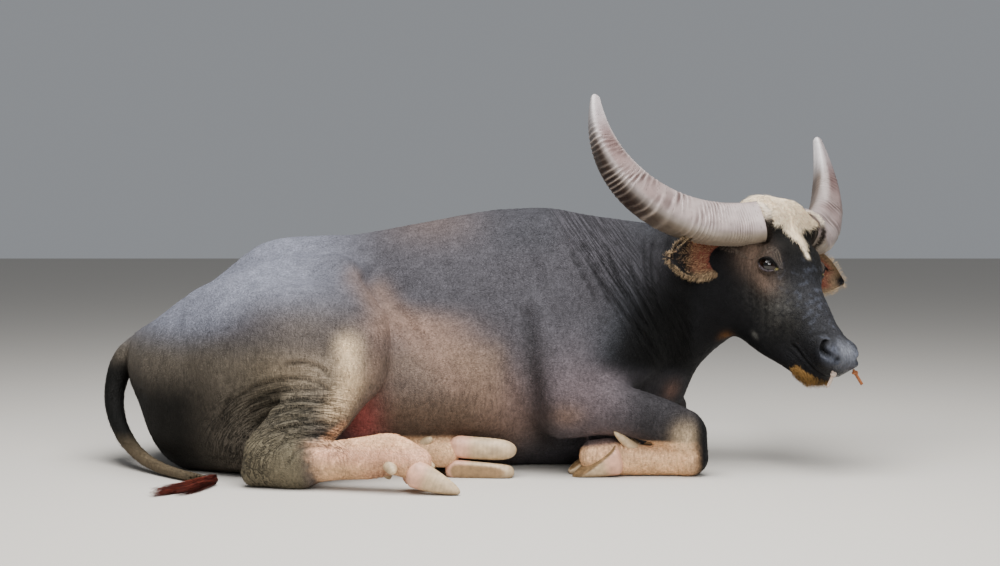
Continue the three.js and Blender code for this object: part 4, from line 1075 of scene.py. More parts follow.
def eye_layers(where):
    """Colours round both eyes: arcs of brown between the folds, and dark, pink and yellowish rims."""
    right = on_head(where)[:, 0] > 0
    both_eyes = zip(eye_place(where, 1)[1:], eye_place(where, -1)[1:])
    a, b, ahead = (np.where(right, of_right, of_left) for of_right, of_left in both_eyes)
    gap, seen = lid_gap(a, b), ahead > 0
    arcs = np.exp(-((np.mod(gap - 11, 8) - 4) / 2) ** 2)
    arcs = arcs * ramp(b, -6, 6) * ramp(gap, 6, 10) * ramp(50 - gap, 0, 10)
    return [
        ("brow", 0.6 * arcs * seen),
        ("coal", (gap < 4.5) * seen * 0.9),
        ("lid pink", 0.35 * np.exp(-((gap - 2.2) / 1.4) ** 2) * ramp(-b, 2, 6) * seen),
        ("tear yellow", 0.95 * np.exp(-((a - 30) ** 2 + (b + 5) ** 2) / 5.0 ** 2) * seen),
    ]


def ear_layers(where, ear):
    """Colours of one ear: a tan rim round a black back and a red hollow, and a black tip on the far one."""
    u, v, width, height = ear_place(where, ear)
    here = near_leaf((u, v, width, height), 0.04, 1.06, 12 * MM, 14 * MM)
    in_edge = np.abs(v) / width
    return [
        ("ear rim", 0.9 * here),
        ("black", 0.8 * here * ramp(-height, 0, 3 * MM) * ramp(0.9 - in_edge, 0, 0.2)),
        ("ear red", here * ramp(height, -1 * MM, 2 * MM) * ramp(0.92 - in_edge, 0, 0.25)
         * ramp(0.9 - u, 0, 0.15)),
        ("black", here * ramp(u, 0.88, 0.97) * (on_head(where)[:, 0] < 0)),
    ]


def head_colours(where, c):
    """Colours of the head over those of the body, with painted highlights on the nose and muzzle."""
    places = on_head(where)
    l, f, n = places.T
    side = np.abs(l)
    both = np.stack([side, f, n], axis=1)
    on = ramp(f + 0.5 * n, -110, -70) * ramp(where[:, 0], 0.53, 0.57)
    streak = np.exp(-((side - 2) / 7) ** 2) * ramp(f, 120, 135) * ramp(172 - f, 0, 18) * (n > 0)
    return layered(c, HIDE_AND_PAINTED_LIGHT, [
        ("black", 1),
        ("nose blue", 0.9 * ramp(n, -60, -10) * ramp(f, 150, 260)),
        # Painted highlights: pale blue-grey specks of shine on the nose bridge.
        ("painted wet shine", 0.22 * ramp(waves(where, 0.05), 0.1, 0.7) * ramp(f, 140, 210) * ramp(n, -70, -20)),
        ("cheek grey", 0.75 * spot(both, (90, 230, -80), (40, 90, 60)) * (0.55 + 0.6 * waves(where, 0.03))),
        ("eye brown", 0.95 * spot(both, (118, 105, -40), (40, 45, 45))),
        ("eye brown", 0.7 * spot(both, (105, 170, -60), (40, 45, 30))),
        ("forehead", 0.8 * spot(both, (50, 110, 20), (50, 60, 40))),
        *eye_layers(where),
        # Painted sheen over the top of the muzzle.
        ("painted wet shine", 0.3 * ramp(f, 400, 440) * ramp(n, -75, -40) * (side < 90)),
        # Painted highlight: a pale spot of shine on the front of the muzzle.
        ("painted muzzle highlight", 0.6 * spot(both, (10, 440, -2), (26, 30, 36))),
        ("poll cream", ramp(poll_edge(side, f, n), -4, 10)),
        ("poll cream", 0.8 * streak),
        ("hide white", 0.5 * spot(places, (82, 259, -182), (7, 11.2, 7))),
        ("throat tan", 0.6 * spot(places, (84, 205, -262), (17, 17, 17))),
        ("chin", ramp(-n - 0.3 * (453 - f), 116, 126) * ramp(f, 385, 402) * (where[:, 2] > 0.25)),
        *ear_layers(where, EARS["right"]),
        *ear_layers(where, EARS["left"]),
    ], on)


def markings(where):
    """Colour of the hide at each place, with its painted highlights and shade."""
    c = body_colours(where)
    c = leg_colours(where, c)
    return head_colours(where, c)


colours = markings(points)
mottle = 1 + 0.10 * waves(points, 0.11)[:, None] + 0.06 * waves(points, 0.037)[:, None]
# Painted shade: colours are darkened in every crease, more strongly on the muzzle and round the nostrils.
crease_shade_strength = 0.6 + 0.35 * ramp(on_head(points)[:, 1], 370, 390) * (points[:, 2] > 0.3)
colours = colours * mottle * (1 - crease_shade_strength * np.clip(painted_crease_shade, 0, 1))[:, None]
skin = new_mesh("skin", points, triangles, colours)
print("the skin has", len(HIDE_AND_PAINTED_LIGHT), "named colours")

# %% [markdown]
# ## Hide
# Living hide is thick, dry and finely wrinkled, with sparse short hair. Shallow cracks a few millimetres
# apart and finer grain scatter its shine. Hairs too fine to model are a noise stretched along the lie of
# the coat.

# %% Hide
# Dry hide is dull all over, and its colour changes softly from place to place. The grain is about 5 mm
# across, the cracks are 7 mm apart, a hair streak is 5 mm by 21 mm, and a blotch is 29 mm across.
hide, shader = new_material("dry wrinkled hide")
place = add(hide, "TexCoord").outputs["Object"]
grain = add(hide, "TexNoise", {"Vector": place, "Scale": 190.0, "Detail": 5.0, "Roughness": 0.62})
cracks = add(hide, "TexVoronoi", {"Vector": place, "Scale": 150.0}, feature="DISTANCE_TO_EDGE")
crack_line = add(hide, "MapRange", {"Value": cracks.outputs["Distance"], "From Min": 0.0, "From Max": 0.18})
along_coat = add(hide, "Mapping", {"Vector": place, "Rotation": (0, math.radians(22), 0),
                                   "Scale": (92, 92, 24)})
hair_streak = add(hide, "TexNoise", {"Vector": along_coat.outputs["Vector"], "Scale": 2.0, "Detail": 4.0,
                                     "Roughness": 0.6})
blotch = add(hide, "TexNoise", {"Vector": place, "Scale": 34.0, "Detail": 5.0, "Roughness": 0.65})
colour = add(hide, "VertexColor", layer_name="markings").outputs["Color"]
for pattern, span, tones in (
    (hair_streak, (0.32, 0.70), (0.70, 1.34)),
    (grain, (0.25, 0.75), (0.76, 1.24)),
    (blotch, (0.3, 0.7), (0.80, 1.22)),
):
    colour = toned(hide, colour, pattern.outputs["Fac"], span, tones)
relief = add(hide, "Math", {0: crack_line.outputs["Result"], 1: 0.45, 2: grain.outputs["Fac"]},
             operation="MULTIPLY_ADD")
relief = add(hide, "Math", {0: hair_streak.outputs["Fac"], 1: 0.8, 2: relief.outputs["Value"]},
             operation="MULTIPLY_ADD")
print("the hide has grain, cracks, hair streaks and blotches")

# %% [markdown]
# ## Wrinkles and the wet muzzle
# Thin creases circle the bent hock and cross the neck. They follow the body, so each vertex carries its
# own place in their pattern, and how strong they are there. A crease runs where a smooth noise crosses its
# middle value, and it is bumped in and darkened with painted shade. The muzzle is bare and wet, so it is
# smoother than the rest.


# %% Wrinkles and the wet muzzle
def write_values(name, kind, field, values):
    """Stores a value for each vertex of the skin, which the material reads by its name."""
    skin.data.attributes.new(name, kind, "POINT").data.foreach_set(field, values.astype(np.float32).ravel())


HOCK_X, HOCK_Z, HOCK_STRETCH = -430, 50, 1.45
ARC_SPACING, NECK_SPACING = 6, 11
x, y, z = on_body(points).T
beside_hock, over_hock = (x - HOCK_X) / HOCK_STRETCH, z - HOCK_Z
arc = np.hypot(beside_hock, over_hock)
across_neck = x + 0.56 * z + 14 * np.sin(z / 90)
round_hock = np.stack([arc / ARC_SPACING, 3 * np.arctan2(over_hock, beside_hock), 0 * x], axis=1)
down_neck = np.stack([across_neck / NECK_SPACING, z / 150, 0 * x], axis=1)
write_values("wrinkle_place", "FLOAT_VECTOR", "vector", np.where((x > 100)[:, None], down_neck, round_hock))
on_hock = ramp(-y, 200, 260) * ramp(arc, 50, 80) * ramp(260 - arc, 0, 110) * ramp(-x, 300, 360)
on_neck = ramp(across_neck, 540, 620) * ramp(790 - across_neck, 0, 90) * ramp(z, 240, 330) * (x < 560)
write_values("wrinkled", "FLOAT", "value", on_hock + 0.75 * on_neck)
l, f, n = on_head(points).T
write_values("wet", "FLOAT", "value",
             ramp(f, 395, 430) * ramp(n + 100, 0, 10) * (np.abs(l) < 100) * (points[:, 0] > 0.75))

noise_place = add(hide, "Attribute", attribute_name="wrinkle_place").outputs["Vector"]
wrinkles = add(hide, "TexNoise", {"Vector": noise_place, "Scale": 1.0, "Detail": 3.0, "Roughness": 0.55,
                                  "Distortion": 0.4})
off_line = add(hide, "Math", {0: wrinkles.outputs["Fac"], 1: 0.5}, operation="SUBTRACT")
off_line = add(hide, "Math", {0: off_line.outputs["Value"]}, operation="ABSOLUTE")
deep = add(hide, "MapRange", {"Value": off_line.outputs["Value"], "From Min": 0.0, "From Max": 0.055,
                              "To Min": 1.0, "To Max": 0.0})
strength = add(hide, "Attribute", attribute_name="wrinkled").outputs["Fac"]
depth = add(hide, "Math", {0: deep.outputs["Result"], 1: strength}, operation="MULTIPLY").outputs["Value"]
# Painted shade: the colour darkens to 0.3 along each wrinkle line.
colour = toned(hide, colour, depth, (0.0, 1.0), (1.0, 0.3))
relief = add(hide, "Math", {0: depth, 1: -3.0, 2: relief.outputs["Value"]}, operation="MULTIPLY_ADD")
bump = add(hide, "Bump", {"Height": relief.outputs["Value"], "Distance": 2.0 * MM, "Strength": 0.85})
wetness = add(hide, "Attribute", attribute_name="wet")
roughness = add(hide, "MapRange", {"Value": wetness.outputs["Fac"], "To Min": 0.62, "To Max": 0.2})
fill(hide, shader, {"Base Color": colour, "Roughness": roughness.outputs["Result"],
                    "Normal": bump.outputs["Normal"], "Specular IOR Level": 0.12, "Sheen Weight": 0.01,
                    "Sheen Roughness": 0.4})
FLESH = ["head", "neck", "trunk", "ear_right", "ear_left", "hind_right_thigh", "hind_right_shank",
         "hind_right_cannon", "hind_left_thigh", "hind_left_cannon", "fore_right_arm", "fore_right_forearm",
         "fore_right_cannon", "fore_left_arm", "fore_left_forearm", "fore_left_cannon", "tail_root",
         "tail_middle", "tail_end"]
finish_piece(skin, hide, FLESH)

# %% [markdown]
# ## Tubes
# Horns, claws, ropes and long hairs are all rings of points along a path. The rings are joined side by
# side, and one point closes each end.


# %% Tubes
def joined_rings(rings, first, last):
    """Closed triangle mesh of rings (n, sides, 3) with a point at each end."""
    count, sides = rings.shape[:2]
    k = np.arange(count * sides).reshape(count, sides)
    a, b, c, d = k[:-1], np.roll(k[:-1], -1, 1), np.roll(k[1:], -1, 1), k[1:]
    walls = np.stack([a, b, c, a, c, d], axis=-1).reshape(-1, 3)
    pole = np.full(sides, count * sides)
    caps = np.vstack([np.stack([np.roll(k[0], -1), k[0], pole], 1),
                      np.stack([k[-1], np.roll(k[-1], -1), pole + 1], 1)])
    return np.vstack([rings.reshape(-1, 3), first, last]), np.vstack([walls, caps])


def across_path(path, side):
    """Two directions across a path at each of its points, the first one nearest to `side`."""
    tangent = unit(np.gradient(path, axis=0))
    wide = unit(side - tangent * (tangent @ side)[:, None])
    return wide, np.cross(tangent, wide)


def tube(path, side, reach_wide, reach_deep, sides):
    """Tube along a path. Its half width and half depth are arrays (rings, sides) or (rings, 1)."""
    angle = np.linspace(0, 2 * np.pi, sides, endpoint=False)[None, :, None]
    wide, deep = across_path(path, side)
    across = wide[:, None] * np.cos(angle) * reach_wide[..., None]
    across = across + deep[:, None] * np.sin(angle) * reach_deep[..., None]
    return joined_rings(path[:, None] + across, path[:1], path[-1:])


def on_rings(grid, shape, ends=(0, 0)):
    """A value for each point of a tube: those of its rings, and one for the point at each end."""
    return np.append(np.broadcast_to(grid, shape).ravel(), ends)


def stacked(parts):
    """Several meshes (points, faces) as one."""
    starts = np.cumsum([0] + [len(p) for p, _ in parts[:-1]])
    return np.vstack([p for p, _ in parts]), np.vstack([f + n for (_, f), n in zip(parts, starts)])


# %% [markdown]
# ## Horns
# A swamp buffalo's horn is a rounded triangle in section: a flat front face with a keel on each side of
# it. Rings of growth cross it, fine at the base and coarse in the middle, and the last quarter is worn
# smooth and pale.

# %% Horns
HORN_CURVE = [(100, 44, 8), (249, 2, -100), (370, -55, -90), (530, -165, -95), (484, -359, 4)]
HORN_RADIUS_MM, HORN_TAPER, HORN_FLATNESS, HORN_TURN = 55, 0.82, 0.12, -0.11
HORN_RINGS, HORN_SIDES, HORN_TIP, HORN_TIP_RINGS = 520, 60, 0.015, 12
HORN_AND_PAINTED_LIGHT = {
    "front": "#9a8b87", "painted groove shade": "#45312d", "keel": "#b3a8a4", "under": "#2b1d15",
    "under ridge": "#a3958b", "under base": "#8d8071", "back": "#5d5149", "tip": "#cfcacb",
    "speck": "#1e1815", "stain": "#674a46",
}


def bezier(points, t):
    """Point on a Bezier curve, by repeated blending."""
    while len(points) > 1:
        points = [a + (b - a) * t for a, b in zip(points[:-1], points[1:])]
    return points[0]


def horn(mirror):
    """Radius R(t)(1 - F cos 3θ) with sharpened keels, crossed by rings spaced by the horn's length."""
    tip_rings = np.linspace(1, 0, HORN_TIP_RINGS + 1)[1:]
    t = np.append(np.linspace(0, 1 - HORN_TIP, HORN_RINGS - HORN_TIP_RINGS), 1 - HORN_TIP * tip_rings**2)
    path = bezier([head_point((mirror * l, f, n))[None] for l, f, n in HORN_CURVE], t[:, None])
    length = np.append(0, np.cumsum(np.linalg.norm(np.diff(path, axis=0), axis=1)))[:, None] / MM
    angle = np.linspace(0, 2 * np.pi, HORN_SIDES, endpoint=False)[None]
    turn = mirror * angle - HORN_TURN
    turn = (turn + np.pi) % (2 * np.pi) - np.pi
    radius = HORN_RADIUS_MM * (1 - HORN_TAPER * t[:, None] ** 3.8)
    keel = np.clip(-np.cos(3 * turn), 0, 1) ** 5
    shape = radius * (1 - HORN_FLATNESS * np.cos(3 * turn) + 0.035 * keel)

    # Rings: about 7 mm apart at the base and 12 mm in the middle, each a little different.
    wobble = 1.5 * np.sin(length / 31) + 0.9 * np.sin(length / 13.7 + 1)
    wobble = wobble + 0.5 * np.sin(2.2 * turn + length / 21)
    phase = 2 * np.pi * (length / (7 + 5.5 * ramp(length, 60, 420)) + 0.16 * wobble)
    sharp = (0.5 + 0.5 * np.sin(phase)) ** 2.2
    unworn = ramp(length, 8, 60) * (1 - ramp(t[:, None], 0.80, 0.95))
    strength = unworn * (0.55 + 0.45 * np.sin(length / 19 + 2 * np.sin(turn)))
    face = ramp(np.cos(turn), 0.45, 0.75)
    under = ramp(-np.sin(turn), 0.2, 0.6) * (1 - face)
    patchy = np.clip(0.6 + 0.8 * np.sin(length / 9 + 3 * turn) * np.sin(length / 23), 0, 1)
    height = strength * (2.2 * face * patchy + 3.4 * under + 1.6 * (1 - face) * (1 - under)) * (sharp - 0.5)
    height -= 1.8 * face * (1 - patchy) * strength * (sharp > 0.7)
    closing = np.sqrt(np.clip(1 - ((t[:, None] - 1 + HORN_TIP) / HORN_TIP).clip(0, 1) ** 2, 0, 1))
    reach = (shape + height) * np.maximum(closing, 0.02) * MM
    made = tube(path, HEAD_AXES[2], reach, reach, HORN_SIDES)

    specks = np.sin(length * 0.9 + 7 * turn) * np.sin(length * 0.23 - 11 * turn) * np.sin(length * 0.11 + 3)
    brown = 0.7 * ramp(np.sin(length / 47 + 1.3), -0.2, 0.9) * ramp(length, 250, 400)
    brown = brown + 0.75 * ramp(length, 330, 520)
    grids = [
        # The underside is darker: partly the horn's own colour, partly painted shade on the side turned from the
        # light.
        ("under", under),
        ("under ridge", 0.85 * under * sharp**1.5 * strength),
        ("under base", 0.8 * under * (1 - ramp(length, 150, 380))),
        ("front", face),
        ("stain", face * brown),
        # Painted shade in the grooves between the rings of the front face.
        ("painted groove shade", face * 0.9 * strength * (1 - sharp) ** 2 * (0.35 + 0.65 * patchy)),
        # Painted highlights: paler bands along the keels and along the upper edge of the front face.
        ("keel", 0.3 * keel * ramp(np.cos(turn), 0.2, 0.4) * ramp(length, 90, 160)),
        ("keel", 0.7 * face * ramp(np.sin(turn), 0.35, 0.75) * ramp(length, 300, 420)),
        ("tip", ramp(t[:, None], 0.80, 0.97) * (0.9 - 0.4 * face - 0.5 * under)),
        ("speck", 0.9 * (specks > 0.86) * face),
    ]
    layers = [(name, on_rings(grid, reach.shape)) for name, grid in grids]
    return made, layered(plain(HORN_AND_PAINTED_LIGHT["back"], reach.size + 2), HORN_AND_PAINTED_LIGHT, layers)


# Dry horn has a low shine that breaks up on its ridges. The grain is 2 mm across and a blotch is 26 mm.
horn_keratin, shader = new_material("ridged dry horn")
place = add(horn_keratin, "TexCoord").outputs["Object"]
grain = add(horn_keratin, "TexNoise", {"Vector": place, "Scale": 420.0, "Detail": 4.0, "Roughness": 0.6})
blotch = add(horn_keratin, "TexNoise", {"Vector": place, "Scale": 38.0, "Detail": 3.0})
colour = add(horn_keratin, "VertexColor", layer_name="markings").outputs["Color"]
colour = toned(horn_keratin, colour, blotch.outputs["Fac"], (0.3, 0.7), (0.84, 1.12))
bump = add(horn_keratin, "Bump", {"Height": grain.outputs["Fac"], "Distance": 0.5 * MM, "Strength": 0.7})
fill(horn_keratin, shader, {"Base Color": colour, "Roughness": 0.42, "Normal": bump.outputs["Normal"],
                            "Specular IOR Level": 0.5})
for name, mirror in (("right", 1), ("left", -1)):
    (horn_points, horn_faces), horn_colours = horn(mirror)
    piece = new_mesh(f"ridged_horn_{name}", horn_points, horn_faces, horn_colours)
    finish_piece(piece, horn_keratin, [f"horn_{name}"])

# %% [markdown]
# ## Eyes
# A buffalo's eye is a wet, nearly black brown. The ball has a clear dome over the iris, a wide flat pupil
# and a dull reddish white that shows only at the corners. Its shine is what brings the face to life.


# %% Eyes
EYE = {"white": "#24150f", "iris": "#120a07", "rays": "#22130a", "rim": "#060404", "pupil": "#020202"}
EYE_DOME_MM = 1.3


def eye(sign):
    """Ball of radius R with a dome: R + D exp(-(θ/0.42)²), θ being the angle from its gaze."""
    centre, gaze, inner, up = eye_axes(sign)
    theta = np.linspace(0, np.pi, 50)[1:-1, None]
    phi = np.linspace(0, 2 * np.pi, 72, endpoint=False)[None]
    radius = (EYE_RADIUS_MM + EYE_DOME_MM * np.exp(-(theta / 0.42) ** 2)) * MM
    sideways = np.cos(phi)[..., None] * inner + np.sin(phi)[..., None] * up
    way = np.cos(theta)[..., None] * gaze + np.sin(theta)[..., None] * sideways
    front, back = centre + gaze * (EYE_RADIUS_MM + EYE_DOME_MM) * MM, centre - gaze * EYE_RADIUS_MM * MM
    a, b = EYE_RADIUS_MM * theta * np.cos(phi), EYE_RADIUS_MM * theta * np.sin(phi)
    r = np.hypot(a, b)
    iris = on_rings(1 - ramp(r, 12.0, 13.5), r.shape, (1, 0))
    rays = on_rings(0.5 + 0.5 * np.sin(38 * phi + 2 * np.sin(9 * phi)), r.shape)
    layers = [
        ("iris", iris),
        ("rays", 0.5 * iris * rays),
        ("rim", on_rings(np.exp(-((r - 13) / 1.2) ** 2), r.shape)),
        ("pupil", on_rings(1 - ramp(np.hypot(a / 7.5, b / 4.2), 0.9, 1.1), r.shape, (1, 0))),
    ]
    return joined_rings(centre + radius[..., None] * way, front, back), layered(
        plain(EYE["white"], r.size + 2), EYE, layers)


# The film of tears is a clear coat, so the dark eye shows small sharp highlights. The veins are 3 mm apart.
wet_eye, shader = new_material("wet dark eye")
veins = add(wet_eye, "TexNoise", {"Vector": add(wet_eye, "TexCoord").outputs["Object"], "Scale": 300.0,
                                  "Detail": 3.0})
colour = add(wet_eye, "VertexColor", layer_name="markings").outputs["Color"]
colour = toned(wet_eye, colour, veins.outputs["Fac"], (0.0, 1.0), (0.75, 1.25))
fill(wet_eye, shader, {"Base Color": colour, "Roughness": 0.06, "IOR": 1.38, "Coat Weight": 0.6,
                       "Coat Roughness": 0.03})
for name, sign in (("right", 1), ("left", -1)):
    (eye_mesh_points, eye_mesh_faces), eye_colours = eye(sign)
    piece = new_mesh(f"wet_eye_{name}", eye_mesh_points, eye_mesh_faces, eye_colours)
    finish_piece(piece, wet_eye, [f"eye_{name}"])

# %% [markdown]
# ## Hooves and dewclaws
# Each foot has two claws side by side, wedges of cream horn with growth lines parallel to the hair line,
# and two blunt dewclaws above the heel. Faces that are flat on the real claw, its sole and the cleft, are
# made by pressing the tube against a plane.

# %% Hooves and dewclaws
FEET = {
    "hind_right": {"coronet": (-207, -556, 47), "toe": (-112, -578, 9), "spread": (0.22, -0.97, 0),
                   "gap": 26,
                   "root": (31, 48), "tip": (17, 13), "sole": ((-150, -570, 0), (0, 0, 1))},
    "hind_left": {"coronet": (-112, -302, 46), "toe": (18, -318, 42), "spread": (0.1, 0.15, 1), "gap": 28,
                  "root": (31, 38), "tip": (27, 27), "sole": ((-60, -337, 50), (0.12, 1, 0))},
    "fore_right": {"coronet": (288, -286, 46), "toe": (188, -288, 12), "spread": (0, -1, 0.05), "gap": 24,
                   "root": (30, 62), "tip": (20, 15), "sole": ((240, -286, 54), (0.6, 0.42, -0.75))},
    "fore_left": {"coronet": (288, 286, 46), "toe": (188, 288, 12), "spread": (0, 1, 0.05), "gap": 24,
                  "root": (30, 62), "tip": (20, 15), "sole": ((240, 286, 54), (0.6, -0.42, -0.75))},
}
DEWCLAWS = {
    "hind_right": [((-270, -566, 70), (-256, -604, 52), 17), ((-286, -520, 60), (-270, -512, 22), 16)],
    "hind_left": [((-196, -292, 84), (-172, -318, 102), 14), ((-190, -296, 40), (-166, -326, 26), 14)],
    "fore_right": [((350, -286, 66), (286, -332, 124), 14), ((348, -266, 74), (298, -240, 112), 14)],
    "fore_left": [((350, 286, 66), (286, 332, 124), 14), ((348, 266, 74), (298, 240, 112), 14)],
}
HOOF = {"wall": "#b99a76", "pale": "#cbb28e", "line": "#8a6f4e", "coronet": "#dca78c", "sole": "#9c7c57",
        "dirt": "#6a5335"}
CLAW_RINGS, CLAW_SIDES, CLAW_INSIDE_MM = 60, 48, 26
DEW_RINGS, DEW_SIDES = 24, 28


def pressed(points, on_plane, normal, soft=2 * MM):
    """Presses points that lie behind a plane onto it, with a soft edge: d becomes (d + √(d² + s²))/2."""
    normal = np.array(normal, float) / np.linalg.norm(normal)
    d = (points - on_plane) @ normal
    return points + ((d + np.sqrt(d * d + soft * soft)) / 2 - d)[:, None] * normal


def claw(spec, sign, muddy):
    """Tube from coronet to toe. Its heel closes as √(1 - ((0.2 - u)/0.2)²) and its toe as √(1 - u⁹)."""
    out = np.array(spec["spread"], float)
    out /= np.linalg.norm(out)
    coronet = np.array(spec["coronet"])
    start, end = (np.array(spec[k]) + out * sign * spec["gap"] for k in ("coronet", "toe"))
    ahead = (end - start) / np.linalg.norm(end - start)
    start = start - ahead * CLAW_INSIDE_MM
    end = end + ahead * spec["tip"][1] * 0.8
    u = (1 - np.cos(np.linspace(0, np.pi, CLAW_RINGS)))[:, None] / 2
    path = (start + (end - start) * u) * MM + SHIFT
    heel = np.sqrt(np.clip(1 - ((0.2 - u) / 0.2).clip(0, 1) ** 2, 0.0004, 1))
    closing = heel * (np.sqrt(np.clip(1 - u**9, 0, 1)) + 0.01)
    growth_lines = 0.25 * np.sin(u * 95) + 0.15 * np.sin(u * 171 + 1)
    half = min(spec["root"][0], spec["gap"] + 3)
    width = 1.12 * (half - 2 + (spec["tip"][0] * 0.95 - half) * u + growth_lines)
    depth = spec["root"][1] * 0.78 * (1 - u**1.25) + spec["tip"][1] * 1.05 * u**1.25 + growth_lines
    made, faces = tube(path, out, width * closing * MM, depth * closing * MM, CLAW_SIDES)
    sole_point, sole_normal = (np.array(v, float) for v in spec["sole"])
    sole_place = sole_point * MM + SHIFT
    made = pressed(made, coronet * MM + SHIFT + out * sign * 1.2 * MM, out * sign, 5 * MM)
    made = pressed(made, sole_place, sole_normal, 4 * MM)
    off_sole = np.abs((made - sole_place) @ (sole_normal / np.linalg.norm(sole_normal)))
    on_sole = ramp(2.5 * MM - off_sole, 0, 1.5 * MM)
    made = pressed(made, np.array([0, 0, 0.8 * MM]), (0, 0, 1), 0.5 * MM)
    shape = (CLAW_RINGS, CLAW_SIDES)
    layers = [
        ("pale", on_rings(0.8 * ramp(u, 0.15, 0.6), shape, (0, 1))),
        ("line", on_rings(0.22 * (0.5 + 0.5 * np.sin(u * 95 + 1)) ** 2, shape, (0, 1))),
        ("coronet", on_rings(0.9 * ramp(0.42 - u, 0, 0.2), shape, (0, 1))),
        ("sole", on_sole),
        ("dirt", on_sole * muddy * (0.7 + 0.5 * waves(made, 0.02))),
        ("dirt", 0.55 * ramp(0.014 - made[:, 2], 0, 0.012)),
    ]
    return (made, faces), layered(plain(HOOF["wall"], len(made)), HOOF, layers)


def dewclaw(root, tip, radius):
    """Blunt cone with a rounded end, √(1 - ((u - 0.65)/0.35)²), and a few growth lines."""
    root, tip = (np.array(v, float) for v in (root, tip))
    u = np.linspace(0, 1, DEW_RINGS)[:, None]
    path = (root + (tip - root) * (1.02 * u - 0.1)) * MM + SHIFT
    closing = np.sqrt(np.clip(1 - ((u - 0.65) / 0.35).clip(0, 1) ** 2, 0.0004, 1))
    reach = (radius * (1.12 - 0.62 * u**1.4) + 0.2 * np.sin(u * 40)) * closing * MM
    lines = on_rings(0.25 * (0.5 + 0.5 * np.sin(u * 40)) ** 3, (DEW_RINGS, DEW_SIDES))
    made = tube(path, np.array([0.3, 1, 0.2]), reach, reach, DEW_SIDES)
    return made, blend_to(plain(HOOF["pale"], len(made[0])), HOOF["line"], lines)


# Worn hoof horn is cream and silky rather than shiny, with stains 17 mm across over a grain of 3 mm.
hoof_horn, shader = new_material("worn hoof horn")
place = add(hoof_horn, "TexCoord").outputs["Object"]
grain = add(hoof_horn, "TexNoise", {"Vector": place, "Scale": 330.0, "Detail": 4.0, "Roughness": 0.65})
stains = add(hoof_horn, "TexNoise", {"Vector": place, "Scale": 60.0, "Detail": 4.0})
colour = add(hoof_horn, "VertexColor", layer_name="markings").outputs["Color"]
colour = toned(hoof_horn, colour, stains.outputs["Fac"], (0.32, 0.7), (0.72, 1.1))
bump = add(hoof_horn, "Bump", {"Height": grain.outputs["Fac"], "Distance": 0.8 * MM, "Strength": 0.7})
fill(hoof_horn, shader, {"Base Color": colour, "Roughness": 0.5, "Normal": bump.outputs["Normal"]})
for foot, spec in FEET.items():
    for sign, which, dew in ((1, "outer", DEWCLAWS[foot][0]), (-1, "inner", DEWCLAWS[foot][1])):
        (claw_points, claw_faces), claw_colours = claw(spec, sign, 1.0 if foot.startswith("fore") else 0.35)
        piece = new_mesh(f"claw_{foot}_{which}", claw_points, claw_faces, claw_colours)
        finish_piece(piece, hoof_horn, [f"{foot}_claw_{which}"])
        (dew_points, dew_faces), dew_colours = dewclaw(*dew)
        piece = new_mesh(f"dewclaw_{foot}_{which}", dew_points, dew_faces, dew_colours)
        finish_piece(piece, hoof_horn, [f"{foot}_dewclaw_{which}"])

# %% [markdown]
# ## Nose rope
# A short rope of twisted fibre goes through the nose, with a knot on each side. The strands wind round the
# rope's axis as a helix, and the knot is a trefoil of the same rope.

# %% Nose rope
ROPES = {
    "right": {"knot": (32, 470, -72), "free": (30, 486, -106), "colour": "#d9c4b4"},
    "left": {"knot": (-52, 470, -62), "free": (-70, 500, -72), "colour": "#a8673c"},
}


ROPE_TWIST, STRAND_OFFSET, STRAND_RADIUS = 15 * MM, 2.2 * MM, 2.1 * MM
KNOT_RADIUS, KNOT_SCALE = 2.7 * MM, 2.4 * MM


def rope(knot, free):
    """Three strands at r(cos(2πs/p + k), sin(2πs/p + k)) round the axis, and a trefoil knot."""
    start, end = head_point(knot), head_point(free)
    s = np.linspace(0, 1, 60)[:, None]
    axis = start + (end - start) * s
    side = np.array([0.2, 1, 0.1])
    wide, deep = across_path(axis, side)
    parts = []
    for strand in range(3):
        turn = 2 * np.pi * (s * np.linalg.norm(end - start) / ROPE_TWIST + strand / 3)
        path = axis + STRAND_OFFSET * (np.cos(turn) * wide + np.sin(turn) * deep)
        reach = np.full_like(s, STRAND_RADIUS)
        parts.append(tube(path, side, reach, reach, 10))
    t = np.linspace(0, 2 * np.pi, 90)[:, None]
    loop = np.hstack([np.sin(t) + 2 * np.sin(2 * t), np.cos(t) - 2 * np.cos(2 * t),
                      -1.2 * np.sin(3 * t)]) * KNOT_SCALE
    reach = np.full_like(t, KNOT_RADIUS)
    parts.append(tube(start + loop @ HEAD_AXES, np.array([0.3, 0.2, 1]), reach, reach, 12))
    return stacked(parts)


# Dry plant fibre is dull and fuzzy. Its threads are drawn 1.4 mm apart, and the dark gaps between them are
# painted shade.
for name, spec in ROPES.items():
    fibre, shader = new_material(f"twisted fibre {name}")
    place = add(fibre, "TexCoord").outputs["Object"]
    fuzz = add(fibre, "TexNoise", {"Vector": place, "Scale": 700.0, "Detail": 4.0, "Roughness": 0.7})
    shade = add(fibre, "ValToRGB", {"Fac": fuzz.outputs["Fac"]})
    shade.color_ramp.elements[0].color = (*linear(spec["colour"]) * 0.45, 1)
    shade.color_ramp.elements[1].color = (*linear(spec["colour"]), 1)
    shade.color_ramp.elements[0].position, shade.color_ramp.elements[1].position = 0.3, 0.7
    bump = add(fibre, "Bump", {"Height": fuzz.outputs["Fac"], "Distance": 0.8 * MM, "Strength": 0.9})
    fill(fibre, shader, {"Base Color": shade.outputs["Color"], "Roughness": 0.9,
                         "Normal": bump.outputs["Normal"]})
    piece = new_mesh(f"twisted_rope_{name}", *rope(spec["knot"], spec["free"]))
    finish_piece(piece, fibre, [f"nose_rope_{name}"])

